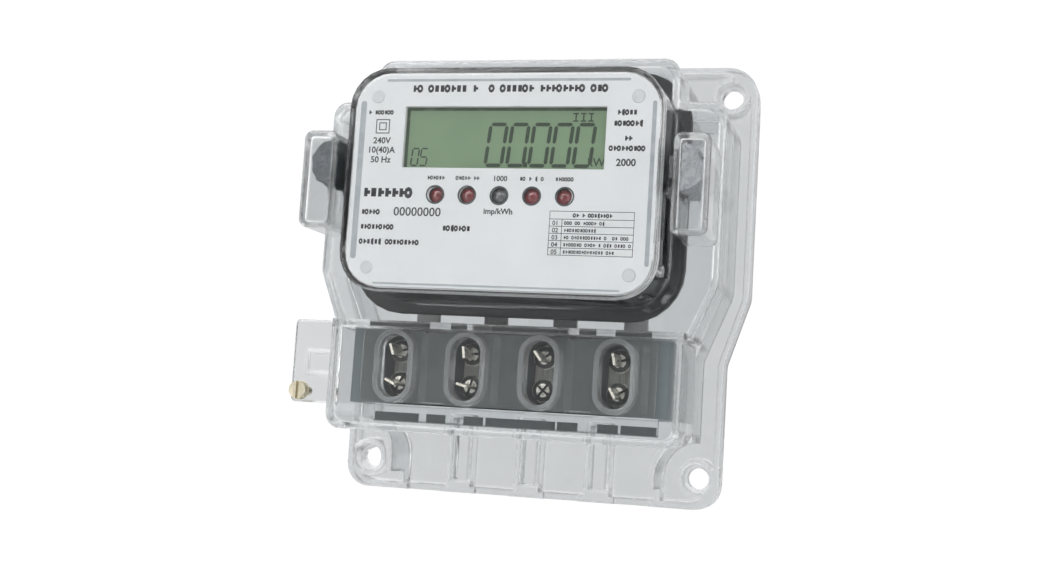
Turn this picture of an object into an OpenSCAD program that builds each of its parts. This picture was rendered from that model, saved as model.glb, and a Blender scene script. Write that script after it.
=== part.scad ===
// Single-phase static electricity meter in a clear moulded case.
// Frame: origin at the centre of the back face, +X to the right seen from the front,
// +Z up, and the front of the meter towards -Y.

/* [Base plate] */
// Overall height of the base plate
plate_h = 147; // [143:1:151]
// Overall width of the base plate across its upper part
plate_w = 143; // [141:1:147]
// Width of the base plate across its lower part
plate_low_w = 129; // [127:1:132]
// Thickness of the base plate
plate_t = 2.5; // [2:0.1:3]
// Height of the rim that runs round the base plate
rim_h = 9; // [8:0.5:10]
// Thickness of that rim
rim_t = 2.2; // [1.8:0.1:2.6]

/* [Mounting holes] */
// Distance between the two upper mounting holes
top_hole_gap = 125; // [123:1:127]
// Height of the two upper mounting holes above the origin
top_hole_z = 64; // [63:0.5:65]
// Distance between the two lower mounting holes
low_hole_gap = 114; // [112:1:115]
// Height of the two lower mounting holes, below the origin
low_hole_z = -63.5; // [-64:0.5:-63]
// Radius of a mounting hole
hole_r = 3.5; // [3:0.25:4]

/* [Body] */
// Outer width of the body across the window
body_w = 131.4; // [130:0.2:133]
// Outer width of the body across the terminals
body_low_w = 114; // [113:0.5:115]
// Wall thickness of the clear mouldings
wall = 2; // [1.6:0.1:2.4]
// How far the ledge round the window stands in front of the back face
ledge_d = 41; // [39:0.5:43]
// How far the window stands in front of the back face
window_d = 64; // [62:0.5:66]
// Where the base walls end and the covers begin
parting_d = 22; // [20:0.5:24]

/* [Window] */
// Width of the raised window box
window_w = 100.6; // [99:0.2:102]
// Height of the raised window box
window_h = 70.6; // [69:0.2:72]
// Corner radius of the raised window box
window_r = 12.5; // [11:0.5:14]
// Height of the window's centre above the origin
window_z = 24; // [23.5:0.5:24.5]

/* [Display] */
// Width of the display opening
display_w = 64.6; // [60:0.2:66]
// Height of the display opening
display_h = 19.4; // [18:0.2:20]
// Spacing of the indicator lamps
lamp_gap = 10.16; // [10:0.02:10.3]
// Radius of an indicator lamp
lamp_r = 2.5; // [2:0.1:2.6]

/* [Terminals] */
// Spacing of the four terminals
pitch = 24; // [23.5:0.25:24.5]
// Radius of the cable bore in a terminal
bore_r = 3.6; // [3.2:0.1:3.8]
// Distance between the two screws of a terminal
screw_gap = 10.3; // [10:0.1:10.6]
// Radius of a terminal screw's head
head_r = 3.7; // [3.4:0.1:3.9]
// Radius of a terminal screw's shank
shank_r = 2.5; // [2.4:0.05:2.6]
// How far the front of the terminal cover stands in front of the back face
cover_d = 49.5; // [49:0.25:50.5]

/* [Seal caps] */
// Width of a seal cap
cap_w = 11.2; // [11:0.1:11.4]
// Height of a seal cap
cap_h = 31; // [30:0.5:32]
// How far the front of a seal cap stands in front of the back face
cap_d = 65; // [64:0.5:66]

/* [Hidden] */
$fn = 48;

clear = [0.88, 0.92, 0.93, 0.35];
charcoal = [0.16, 0.18, 0.19];
slate = [0.42, 0.46, 0.48];
nickel = [0.75, 0.73, 0.66];
brass = [0.72, 0.62, 0.36];

arc_steps = 6;
gap = 0.3;                        // clearance between pieces that come apart
side = [-1, 1];
window_wall = 1.3;
window_t = 2.4;

// Body outline heights
neck_low_z = -25;
neck_high_z = -3;
shoulder_z = 54;
crown_z = 68;
crown_half = 50.5;
chamber_half = 45.5;              // half the width of the cable chamber at the bottom
divide_z = -19;                   // where the main cover ends and the terminal cover begins
cover_low_z = -54.3;

// Depths behind the window
nameplate_t = 1.2;
nameplate_y = -window_d + window_t + gap;
display_z = window_z + 13.7;
lamp_z = window_z - 4.5;
lamp_x = 0;
board_y = -50.6;
board_t = 1.6;
case_w = window_w - 2 * window_wall - 2 * gap;
case_h = window_h - 2 * window_wall - 2 * gap;
case_front_y = nameplate_y + nameplate_t + 0.1;
case_back_y = -8;
case_t = 1.8;
pin_places = [for (sx = [-1, 1], dz = [26.5, -27.9]) [sx * 41.8, window_z + dz]];
pin_head_r = 2;
pin_tail_r = 1;

// Terminal parts, front to back
head_front_y = -40;
head_t = 2.6;
barrel_w = 12;
barrel_front_y = -31.5;
barrel_d = 15.7;
barrel_top_z = -23.4;
barrel_low_z = -43.6;
bore_y = -23.4;
bore_top_z = -25.2;
screw_mid_z = -33.4;
foot_front_y = -28.2;
foot_t = 1.15;
block_front_y = -41;
block_back_y = -plate_t;
block_half = 52;
block_top_z = -21.4;
block_low_z = -45.5;
well_r = 4.9;
collar_r = 6.6;
shield_half = 48.5;
terminals = [for (i = [-1.5 : 1 : 1.5]) i * pitch];

// Seal caps, plugs and the case screws under them
cap_mid_x = 59.2;
cap_mid_z = window_z - 0.4;
cap_t = 1.6;
plug_z = window_z + 4.9;
plug_r = 7.8;

// Ear of the terminal cover and its screw
ear_front_y = -45;
ear_t = 2;
ear_x = -71.5;
ear_root_x = -body_low_w / 2 + wall / 2;
ear_low_z = -46.5;
ear_high_z = -19.6;
ear_screw_x = -68.3;
ear_screw_z = -42.8;
seal_screw_r = 1.5;

// ---- Outlines -------------------------------------------------------------

function unit(v) = v / norm(v);

// Points of the arc that rounds corner b, between neighbours a and c
function corner(a, b, c, r) =
  r == 0 ? [b] :
  let (u = unit(a - b), v = unit(c - b),
       half = acos(u * v) / 2,
       middle = b + unit(u + v) * r / sin(half),
       from = b + u * r / tan(half) - middle,
       to = b + v * r / tan(half) - middle,
       start = atan2(from[1], from[0]),
       turn = (atan2(to[1], to[0]) - start + 540) % 360 - 180)
  [for (i = [0 : arc_steps]) let (angle = start + turn * i / arc_steps)
    middle + r * [cos(angle), sin(angle)]];

// A closed outline from corners [x, z, radius]
function rounded(path) =
  let (n = len(path), p = [for (q = path) [q[0], q[1]]])
  [for (i = [0 : n - 1]) each corner(p[(i + n - 1) % n], p[i], p[(i + 1) % n], path[i][2])];

// The right half of an outline, given from the bottom up, and its mirror image
function both_sides(half) =
  concat(half, [for (i = [len(half) - 1 : -1 : 0]) [-half[i][0], half[i][1], half[i][2]]]);

function box_outline(w, h, r) =
  both_sides([[w / 2, -h / 2, r], [w / 2, h / 2, r]]);

function plate_outline(inset) = both_sides([
  [plate_low_w / 2 - inset, -plate_h / 2 + inset, 8],
  [plate_low_w / 2 - inset, -26, 8],
  [plate_w / 2 - inset, -4, 8],
  [plate_w / 2 - inset, plate_h / 2 - inset, 10]]);

// Upper body: from the terminals up to the crown
function upper_half(inset) = [
  [body_low_w / 2 - inset, neck_low_z, 6],
  [body_w / 2 - inset, neck_high_z, 8],
  [body_w / 2 - inset, shoulder_z - inset, 5],
  [crown_half - inset, shoulder_z - inset, 2.4],
  [crown_half - inset, crown_z - inset, 5]];

function base_outline(inset) = both_sides(concat([
  [chamber_half - inset, -plate_h / 2 + rim_t / 2, 0],
  [chamber_half - inset, -52 + inset, 11.2],
  [body_low_w / 2 - inset, -52 + inset, 0]], upper_half(inset)));

// Half width of the body where the main cover ends, on the slope of the neck
function neck_half(z) =
  body_low_w / 2 + (body_w - body_low_w) / 2 * (z - neck_low_z) / (neck_high_z - neck_low_z);

function cover_outline(inset) = both_sides([
  [neck_half(divide_z - wall) - inset, divide_z - wall + inset, 0],
  [body_w / 2 - inset, neck_high_z, 8],
  [body_w / 2 - inset, shoulder_z - inset, 5],
  [crown_half - inset, shoulder_z - inset, 2.4],
  [crown_half - inset, crown_z - inset, 5]]);

// Gives a flat X-Z shape a thickness, from y = front to y = back
module slab(front, back) {
  translate([0, back, 0])
    rotate([90, 0, 0])
      linear_extrude(height = back - front)
        children();
}

module outline(path) {
  polygon(rounded(path));
}

// A round hole or post along Y
module along_y(x, z, r, front, back) {
  translate([x, back, z])
    rotate([90, 0, 0])
      cylinder(r = r, h = back - front);
}

// A box given by its lowest and highest corners
module block(low, high) {
  translate(low)
    cube(high - low);
}

// A slot with round ends, upright, whose end centres are screw_gap apart
module stadium(x, z, r, front, back) {
  for (s = side)
    along_y(x, z + s * screw_gap / 2, r, front, back);
  block([x - r, front, z - screw_gap / 2], [x + r, back, z + screw_gap / 2]);
}

// A rounded box standing on its back edge, with its middle at x, z
module rounded_box(x, z, w, h, r, front, back) {
  translate([x, 0, z])
    slab(front, back)
      outline(box_outline(w, h, r));
}

// ---- Clear casing -----------------------------------------------------------

mounting_holes = [
  [-top_hole_gap / 2, top_hole_z], [top_hole_gap / 2, top_hole_z],
  [-low_hole_gap / 2, low_hole_z], [low_hole_gap / 2, low_hole_z]];
boss_r = 6.4;
counterbore_r = 4.7;
counterbore_floor_y = -3.5;
divider_w = 8.5;
divider_top_z = -47;
divider_skin = 1.3;
case_post_r = 3.4;
rest_x = 30;
rest_z = 20;
rest_r = 4;

module base_walls() {
  difference() {
    slab(-parting_d, -plate_t / 2) outline(base_outline(0));
    slab(-parting_d - 1, 0) outline(base_outline(wall));
    // The bottom of the chamber stays open above the rim, for the cables
    block([-chamber_half - 1, -parting_d - 1, -plate_h / 2 - 1],
          [chamber_half + 1, -rim_h, -plate_h / 2 + 6]);
  }
  // Wall between the cable chamber and the works, with slots for the bars
  difference() {
    block([-body_low_w / 2 + wall / 2, -parting_d, divide_z - wall],
          [body_low_w / 2 - wall / 2, -plate_t / 2, divide_z]);
    for (x = terminals)
      block([x - 4.4, -16.2, divide_z - wall - 1], [x + 4.4, -13.8, divide_z + 1]);
  }
}

module base_dividers() {
  for (x = [-pitch, 0, pitch])
    block([x - divider_w / 2, -rim_h, -plate_h / 2 + rim_t / 2],
          [x + divider_w / 2, -plate_t / 2, divider_top_z]);
}

// Posts that the inner case rests on
module base_rests() {
  for (sx = side, sz = side)
    along_y(sx * rest_x, window_z + sz * rest_z, rest_r, case_back_y, -plate_t / 2);
}

module base() {
  color(clear)
    difference() {
      union() {
        slab(-plate_t, 0) outline(plate_outline(0));
        difference() {
          slab(-rim_h, -plate_t / 2) outline(plate_outline(0));
          slab(-rim_h - 1, 0) outline(plate_outline(rim_t));
        }
        base_walls();
        base_dividers();
        base_rests();
        for (h = mounting_holes)
          along_y(h[0], h[1], boss_r, -rim_h, -plate_t / 2);
        for (s = side)
          along_y(s * cap_mid_x, plug_z, case_post_r, -ledge_d + wall + gap, -plate_t / 2);
      }
      for (h = mounting_holes) {
        along_y(h[0], h[1], hole_r, -rim_h - 1, 1);
        along_y(h[0], h[1], counterbore_r, -rim_h - 1, counterbore_floor_y);
      }
      for (s = side)
        along_y(s * cap_mid_x, plug_z, 1.45, -ledge_d, -12);
      for (x = [-pitch, 0, pitch])
        block([x - divider_w / 2 + divider_skin, -rim_h + divider_skin, -plate_h / 2 + 4],
              [x + divider_w / 2 - divider_skin, 1, divider_top_z - divider_skin]);
      // Shallow notches in the bottom rim where the cables leave
      for (x = terminals)
        block([x - 6, -rim_h - 1, -plate_h / 2 - 1], [x + 6, -rim_h + 2.5, -plate_h / 2 + rim_t + 0.5]);
    }
}

bridge_w = cap_mid_x - cap_w / 2 - gap - window_w / 2 + wall / 2;
bridge_mid_x = cap_mid_x - cap_w / 2 - gap - bridge_w / 2;

module main_cover() {
  color(clear)
    difference() {
      union() {
        slab(-ledge_d, -parting_d - gap) outline(cover_outline(0));
        translate([0, 0, window_z])
          slab(-window_d, -ledge_d + wall / 2) outline(box_outline(window_w, window_h, window_r));
        // Bridges from the window box to the seal caps
        for (s = side)
          translate([s * bridge_mid_x, -ledge_d - 4, plug_z])
            cube([bridge_w, 10, 12], center = true);
      }
      slab(-ledge_d + wall, 0) outline(cover_outline(wall));
      translate([0, 0, window_z])
        slab(-window_d + window_t, 0)
          outline(box_outline(window_w - 2 * window_wall, window_h - 2 * window_wall, window_r - window_wall));
      for (s = side)
        along_y(s * cap_mid_x, plug_z, 1.6, -ledge_d - 1, 0);
    }
}

gasket_front_y = -ledge_d + wall + 0.1;
gasket_t = 2.6;
gasket_grow = 4.6;

// A window-shaped plate behind the ledge, kept inside the walls of the main cover
module ledge_plate(grow, front, back) {
  slab(front, back)
    intersection() {
      translate([0, window_z]) outline(box_outline(window_w + 2 * grow, window_h + 2 * grow, window_r + grow));
      outline(cover_outline(wall + gap));
    }
}

module cover_gasket() {
  back = gasket_front_y + gasket_t;
  color([0.05, 0.06, 0.06])
    difference() {
      ledge_plate(gasket_grow, gasket_front_y, back);
      translate([0, 0, window_z])
        slab(gasket_front_y - 1, back + 1)
          outline(box_outline(case_w + 2 * gap, case_h + 2 * gap, window_r - window_wall));
    }
}

module case_screws() {
  color(nickel)
    for (s = side)
      difference() {
        union() {
          along_y(s * cap_mid_x, plug_z, 2.8, -ledge_d - 2.4, -ledge_d);
          along_y(s * cap_mid_x, plug_z, 1.4, -ledge_d - 0.5, -ledge_d + 18);
        }
        block([s * cap_mid_x - 0.4, -ledge_d - 3, plug_z - 3],
              [s * cap_mid_x + 0.4, -ledge_d - 1.4, plug_z + 3]);
      }
}

module seal_cap(s) {
  color(clear)
    difference() {
      rounded_box(s * cap_mid_x, cap_mid_z, cap_w, cap_h, 2.6, -cap_d, -ledge_d - 0.1);
      rounded_box(s * cap_mid_x, cap_mid_z, cap_w - 2 * cap_t, cap_h - 2 * cap_t, 1.2,
                  -cap_d + cap_t, -ledge_d + 1);
    }
}
module seal_cap_left() { seal_cap(-1); }
module seal_cap_right() { seal_cap(1); }

// The plug fills the screw pocket as a half round, flat towards the window
module seal_plug(s) {
  inner_x = cap_mid_x - cap_w / 2 + cap_t + 0.2;
  color([0.27, 0.3, 0.31])
    intersection() {
      along_y(s * inner_x, plug_z, plug_r, -cap_d + cap_t + 0.6, -ledge_d - 2.5);
      translate([s * cap_mid_x, -cap_d / 2, plug_z])
        cube([cap_w - 2 * cap_t - 0.4, cap_d, 3 * plug_r], center = true);
    }
}
module seal_plug_left() { seal_plug(-1); }
module seal_plug_right() { seal_plug(1); }

// ---- Works behind the window ------------------------------------------------

board_w = 88;
board_h = 58;
board_post_x = 42.2;
board_post_r = 2;
board_post_z = 25.5;

module inner_case() {
  color(charcoal)
    difference() {
      union() {
        difference() {
          union() {
            translate([0, 0, window_z])
              slab(case_front_y, case_back_y)
                outline(box_outline(case_w, case_h, window_r - window_wall - gap));
            // Flange that presses the gasket against the ledge
            ledge_plate(3.5, gasket_front_y + gasket_t, gasket_front_y + gasket_t + 2);
          }
          translate([0, 0, window_z])
            slab(-window_d, case_back_y - case_t)
              outline(box_outline(case_w - 2 * case_t, case_h - 2 * case_t, window_r - window_wall - case_t));
        }
        for (sx = side, sz = side)
          along_y(sx * board_post_x, window_z + sz * board_post_z, board_post_r,
                  board_y + board_t, case_back_y - case_t / 2);
        // Corner posts that take the nameplate pins
        for (p = pin_places)
          along_y(p[0], p[1], 3, case_front_y, case_front_y + 6);
      }
      for (sx = side, sz = side)
        along_y(sx * board_post_x, window_z + sz * board_post_z, 1.1, board_y, board_y + board_t + 12);
      for (p = pin_places)
        along_y(p[0], p[1], pin_tail_r + 0.05, case_front_y - 1, case_front_y + 5);
      // Slots in the bottom wall for the bars
      for (x = terminals)
        block([x - bar_w / 2 - bar_gap, bar_y - bar_gap, window_z - case_h / 2 - 1],
              [x + bar_w / 2 + bar_gap, bar_y + bar_t + bar_gap, window_z - case_h / 2 + case_t + 4]);
    }
}

module nameplate() {
  color("white")
    difference() {
      translate([0, 0, window_z])
        slab(nameplate_y, nameplate_y + nameplate_t)
          outline(box_outline(case_w, case_h, window_r - window_wall - gap));
      block([-display_w / 2, -window_d, display_z - display_h / 2],
            [display_w / 2, 0, display_z + display_h / 2]);
      for (i = [-2 : 2])
        along_y(lamp_x + i * lamp_gap, lamp_z, lamp_r + 0.15, -window_d, 0);
      for (p = pin_places) {
        along_y(p[0], p[1], pin_tail_r + 0.1, -window_d, 0);
        along_y(p[0], p[1], pin_head_r + 0.05, -window_d, nameplate_y + 0.6);
      }
    }
}

module nameplate_pins() {
  color([0.93, 0.94, 0.94])
    for (p = pin_places) {
      along_y(p[0], p[1], pin_head_r, nameplate_y - 0.1, nameplate_y + 0.55);
      along_y(p[0], p[1], pin_tail_r, nameplate_y + 0.5, case_front_y + 4.5);
    }
}

lcd_y = case_front_y + 0.8;
lcd_t = 2.6;
lcd_w = display_w + 5;
lcd_h = display_h + 6;
guide_t = 3;
lcd_pin_z = display_z - lcd_h / 2 + 0.6;
pin_pitch = 2.54;

module lcd_panel() {
  color([0.55, 0.68, 0.55])
    block([-lcd_w / 2, lcd_y, display_z - lcd_h / 2], [lcd_w / 2, lcd_y + lcd_t, display_z + lcd_h / 2]);
}

module lcd_backlight() {
  color([0.9, 0.93, 0.86])
    block([-lcd_w / 2, lcd_y + lcd_t + 0.05, display_z - lcd_h / 2],
          [lcd_w / 2, lcd_y + lcd_t + guide_t, display_z + lcd_h / 2]);
}

module lcd_frame() {
  color([0.85, 0.86, 0.84])
    difference() {
      block([-lcd_w / 2 - 1.8, case_front_y, display_z - lcd_h / 2 - 1.8],
            [lcd_w / 2 + 1.8, board_y - 0.1, display_z + lcd_h / 2 + 1.8]);
      block([-lcd_w / 2 - 0.1, lcd_y - 0.05, display_z - lcd_h / 2 - 0.1],
            [lcd_w / 2 + 0.1, 0, display_z + lcd_h / 2 + 0.1]);
      block([-display_w / 2, -window_d, display_z - display_h / 2],
            [display_w / 2, 0, display_z + display_h / 2]);
    }
}

module lcd_pins() {
  color(nickel)
    for (i = [-11 : 11])
      block([i * pin_pitch - 0.25, lcd_y + lcd_t + guide_t + 0.05, lcd_pin_z],
            [i * pin_pitch + 0.25, board_y + board_t + 1.5, lcd_pin_z + 0.5]);
}

lamp_leg = 1.27;

module lamp(i) {
  x = lamp_x + i * lamp_gap;
  dome_y = nameplate_y + 0.6;
  along_y(x, lamp_z, lamp_r, dome_y + 1.2, dome_y + 6);
  translate([x, dome_y + 1.2, lamp_z])
    rotate([90, 0, 0])
      intersection() {
        translate([0, 0, -2.5]) sphere(r = 3.5);
        cylinder(r = lamp_r, h = 3);
      }
  along_y(x, lamp_z, 2.9, dome_y + 5, dome_y + 6);
  for (s = side)
    block([x + s * lamp_leg - 0.25, dome_y + 5.5, lamp_z - 0.25],
          [x + s * lamp_leg + 0.25, board_y + board_t + 1.2, lamp_z + 0.25]);
}

module tamper_lamps() {
  color([0.55, 0.08, 0.08])
    for (i = [-2, -1, 1, 2]) lamp(i);
}

module pulse_lamp() {
  color([0.45, 0.47, 0.48]) lamp(0);
}

module main_board() {
  color([0.1, 0.42, 0.2])
    difference() {
      block([-board_w / 2, board_y, window_z - board_h / 2],
            [board_w / 2, board_y + board_t, window_z + board_h / 2]);
      for (sx = side, sz = side)
        along_y(sx * board_post_x, window_z + sz * board_post_z, 1.6, board_y - 1, board_y + 3);
      // Corners cut back to clear the round corners of the case
      for (sx = side, sz = side)
        translate([sx * board_w / 2, 0, window_z + sz * board_h / 2])
          rotate([0, 45, 0]) block([-2.5, board_y - 1, -2.5], [2.5, board_y + 3, 2.5]);
      for (i = [-11 : 11])
        block([i * pin_pitch - 0.35, board_y - 1, lcd_pin_z - 0.1],
              [i * pin_pitch + 0.35, board_y + 3, lcd_pin_z + 0.6]);
      for (i = [-2 : 2], s = side)
        translate([lamp_x + i * lamp_gap + s * lamp_leg, board_y - 1, lamp_z - 0.35])
          translate([-0.35, 0, 0]) cube([0.7, 4, 0.7]);
    }
}

module board_screws() {
  color(nickel)
    for (sx = side, sz = side)
      difference() {
        union() {
          along_y(sx * board_post_x, window_z + sz * board_post_z, 2.4, board_y - 1.7, board_y - 0.02);
          along_y(sx * board_post_x, window_z + sz * board_post_z, 1, board_y - 0.5, board_y + 10);
        }
        block([sx * board_post_x - 0.3, board_y - 2, window_z + sz * board_post_z - 3],
              [sx * board_post_x + 0.3, board_y - 1, window_z + sz * board_post_z + 3]);
      }
}

behind_y = board_y + board_t + 0.05;

chip_z = window_z - 16;
chip_half = 7;
chip_lead = 1.2;

module metering_chip() {
  color([0.08, 0.08, 0.09]) {
    block([-chip_half, behind_y, chip_z - chip_half], [chip_half, behind_y + 1.5, chip_z + chip_half]);
    // Rows of leads along the top and bottom
    block([1 - chip_half, behind_y, chip_z - chip_half - chip_lead],
          [chip_half - 1, behind_y + 0.4, chip_z + chip_half + chip_lead]);
  }
}

module supply_capacitor() {
  color([0.85, 0.6, 0.15])
    block([-38, behind_y, window_z + 4], [-12, behind_y + 16, window_z + 14]);
}

module smoothing_capacitors() {
  color([0.1, 0.12, 0.2])
    for (x = [14, 24])
      along_y(x, window_z + 9, 4, behind_y, behind_y + 12);
}

module surge_arrester() {
  color([0.15, 0.3, 0.6])
    translate([-20, behind_y + 8.5, window_z - 8])
      rotate([0, 0, 90]) rotate([90, 0, 0])
        cylinder(r = 7, h = 4, center = true);
}

module backup_battery() {
  color([0.75, 0.75, 0.72])
    translate([10, behind_y + 7.6, window_z + 22]) rotate([0, 90, 0]) {
      cylinder(r = 7.2, h = 24);
      translate([0, 0, 23]) cylinder(r = 3, h = 2);
    }
}

// ---- Current path -----------------------------------------------------------

bar_w = 8;
bar_t = 1.6;
bar_y = -15.8;
bar_top_z = 8;
bar_gap = 0.4;

module riser(x) {
  block([x - bar_w / 2, bar_y, barrel_top_z - 9], [x + bar_w / 2, bar_y + bar_t, bar_top_z]);
}

module phase_in_bar() { color([0.75, 0.75, 0.73]) riser(terminals[0]); }
module phase_out_bar() { color([0.75, 0.75, 0.73]) riser(terminals[1]); }

module neutral_bar() {
  color([0.75, 0.75, 0.73]) {
    riser(terminals[2]);
    riser(terminals[3]);
    block([terminals[2] - bar_w / 2, bar_y, bar_top_z - 5],
          [terminals[3] + bar_w / 2, bar_y + bar_t, bar_top_z]);
  }
}

module current_shunt() {
  color([0.6, 0.6, 0.55])
    difference() {
      block([terminals[0] - bar_w / 2, bar_y - bar_t - 0.02, bar_top_z - 6],
            [terminals[1] + bar_w / 2, bar_y - 0.02, bar_top_z]);
      block([terminals[0] + 8, bar_y - 5, bar_top_z - 3], [terminals[1] - 8, bar_y + 1, bar_top_z + 1]);
    }
}

module current_transformer() {
  middle = [(terminals[2] + terminals[3]) / 2, bar_y + bar_t / 2, bar_top_z - 2.5];
  color([0.12, 0.2, 0.45])
    difference() {
      translate(middle) rotate([0, 90, 0]) cylinder(r = 5.1, h = 8, center = true);
      translate(middle) rotate([0, 90, 0]) cylinder(r = 3.2, h = 9, center = true);
    }
}

// Straight leads from the shunt and the neutral bar to the back of the board
module sense_leads() {
  lead_z = bar_top_z - 2.5;
  color([0.7, 0.1, 0.1]) {
    for (x = [terminals[0] + 5, terminals[1] - 5])
      along_y(x, lead_z, 0.7, behind_y, bar_y - bar_t - 0.02);
    along_y(terminals[2] + 6, lead_z, 0.7, behind_y, bar_y);
  }
}

// ---- Terminals ----------------------------------------------------------------

module terminal_block() {
  color(slate)
    difference() {
      block([-block_half, block_front_y, block_low_z], [block_half, block_back_y, block_top_z]);
      for (x = terminals) {
        stadium(x, screw_mid_z, well_r, block_front_y - 1, barrel_front_y + 0.1);
        // Pocket for the barrel, open at the back so that the barrel can be fitted
        block([x - barrel_w / 2 - 0.1, barrel_front_y - 0.1, barrel_low_z - 0.1],
              [x + barrel_w / 2 + 0.1, 0, barrel_top_z + 0.1]);
        // Cable way below the barrel
        translate([x, bore_y, block_low_z - 1]) cylinder(r = bore_r + 0.9, h = 4);
        // Slot above the barrel for the bar
        block([x - 4.4, -16.2, block_top_z - 4], [x + 4.4, -13.8, block_top_z + 1]);
      }
      // Channels that lighten the moulding between the terminals
      for (x = [-pitch, 0, pitch])
        block([x - 3.5, -30, block_low_z - 1], [x + 3.5, 0, block_top_z - 2]);
      // Side recesses that take the snap tongues of the shield
      for (x = [-pitch, pitch], z = [block_low_z, block_top_z])
        block([x - 4.2, block_front_y - 1, z - 1], [x + 4.2, block_front_y + 6, z + 1]);
    }
}

module terminal_shield() {
  front = block_front_y - 1.5;
  collar_front = wall - cover_d + gap;
  color(clear)
    difference() {
      union() {
        translate([0, 0, (block_low_z + block_top_z) / 2])
          slab(front, block_front_y - 0.1)
            outline(box_outline(2 * shield_half, block_top_z - block_low_z, 2));
        for (x = terminals)
          stadium(x, screw_mid_z, collar_r, collar_front, block_front_y - 0.1);
        // Four snap tongues hold the shield on the block
        for (x = [-pitch, pitch], z = [block_low_z + 0.4, block_top_z - 0.4])
          block([x - 3.8, front, z - 0.4], [x + 3.8, block_front_y + 5.6, z + 0.4]);
      }
      for (x = terminals)
        stadium(x, screw_mid_z, well_r, collar_front - 1, block_front_y + 1);
    }
}

module terminal_barrel(x) {
  color(nickel)
    difference() {
      block([x - barrel_w / 2, barrel_front_y, barrel_low_z],
            [x + barrel_w / 2, barrel_front_y + barrel_d, barrel_top_z]);
      translate([x, bore_y, barrel_low_z - 1]) cylinder(r = bore_r, h = bore_top_z - barrel_low_z + 1);
      for (s = side)
        along_y(x, screw_mid_z + s * screw_gap / 2, shank_r + 0.05, barrel_front_y - 1, bore_y);
    }
}
module terminal_barrel_1() { terminal_barrel(terminals[0]); }
module terminal_barrel_2() { terminal_barrel(terminals[1]); }
module terminal_barrel_3() { terminal_barrel(terminals[2]); }
module terminal_barrel_4() { terminal_barrel(terminals[3]); }

pivot_r = 1;
pivot_l = 0.6;

// The foot rides on the tip of its screw and presses on the cable without turning
module clamp_foot(i, s) {
  z = screw_mid_z + s * screw_gap / 2;
  color(brass)
    difference() {
      along_y(terminals[i], z, shank_r - 0.05, foot_front_y, foot_front_y + foot_t);
      along_y(terminals[i], z, pivot_r + 0.05, foot_front_y - 1, foot_front_y + pivot_l + 0.1);
    }
}

module terminal_screw(i, s) {
  x = terminals[i];
  z = screw_mid_z + s * screw_gap / 2;
  // Each screw is left turned to its own angle
  turn = 25 + 47 * i + (s > 0 ? 0 : 31);
  color(nickel)
    difference() {
      union() {
        along_y(x, z, head_r - 0.5, head_front_y, head_front_y + 0.6);
        along_y(x, z, head_r, head_front_y + 0.5, head_front_y + head_t);
        along_y(x, z, shank_r, head_front_y + head_t - 0.5, foot_front_y - 0.05);
        along_y(x, z, pivot_r, foot_front_y - 0.5, foot_front_y + pivot_l);
      }
      translate([x, 0, z]) rotate([0, turn, 0]) {
        block([-head_r - 1, head_front_y - 1, -0.5], [head_r + 1, head_front_y + 1, 0.5]);
        block([-0.5, head_front_y - 1, -2.1], [0.5, head_front_y + 1.5, 2.1]);
        block([-2.1, head_front_y - 1, -0.5], [2.1, head_front_y + 1.5, 0.5]);
      }
    }
}

module clamp_foot_1_upper() { clamp_foot(0, 1); }
module clamp_foot_1_lower() { clamp_foot(0, -1); }
module clamp_foot_2_upper() { clamp_foot(1, 1); }
module clamp_foot_2_lower() { clamp_foot(1, -1); }
module clamp_foot_3_upper() { clamp_foot(2, 1); }
module clamp_foot_3_lower() { clamp_foot(2, -1); }
module clamp_foot_4_upper() { clamp_foot(3, 1); }
module clamp_foot_4_lower() { clamp_foot(3, -1); }
module terminal_screw_1_upper() { terminal_screw(0, 1); }
module terminal_screw_1_lower() { terminal_screw(0, -1); }
module terminal_screw_2_upper() { terminal_screw(1, 1); }
module terminal_screw_2_lower() { terminal_screw(1, -1); }
module terminal_screw_3_upper() { terminal_screw(2, 1); }
module terminal_screw_3_lower() { terminal_screw(2, -1); }
module terminal_screw_4_upper() { terminal_screw(3, 1); }
module terminal_screw_4_lower() { terminal_screw(3, -1); }

// ---- Terminal cover -------------------------------------------------------------

bottom_wall_back_y = -31.5;
cover_r = 5;

function terminal_cover_outline(inset) = both_sides([
  [body_low_w / 2 - inset, cover_low_z + inset, cover_r - inset / 2],
  [body_low_w / 2 - inset, divide_z - 0.2 - inset, 0]]);

module terminal_cover() {
  color(clear)
    difference() {
      union() {
        slab(-cover_d, -parting_d - gap) outline(terminal_cover_outline(0));
        // Ear with the seal screw
        translate([(ear_x + ear_root_x) / 2, 0, (ear_low_z + ear_high_z) / 2])
          slab(ear_front_y, ear_front_y + ear_t)
            outline(box_outline(ear_root_x - ear_x, ear_high_z - ear_low_z, 1.6));
        // Raised hollow pad on the ear
        block([-66.8, ear_front_y - 0.9, -37.6], [-body_low_w / 2 + 0.5, ear_front_y + 0.1, -29.6]);
      }
      slab(-cover_d + wall, 0) outline(terminal_cover_outline(wall));
      // Open behind the bottom wall, for the cables, and above the block
      block([-body_low_w / 2 + wall, bottom_wall_back_y, cover_low_z - 1],
            [body_low_w / 2 - wall, 0, divide_z + 1]);
      block([-body_low_w / 2 - 1, -ledge_d - gap, divide_z - wall - 0.5],
            [body_low_w / 2 + 1, 0, divide_z + 1]);
      block([-65.8, ear_front_y - 2, -36.6], [-body_low_w / 2 - 1, ear_front_y, -30.6]);
      along_y(ear_screw_x, ear_screw_z, seal_screw_r + 0.05, ear_front_y - 2, 0);
    }
}

washer_t = 0.5;
seal_head_r = 2.9;

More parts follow.
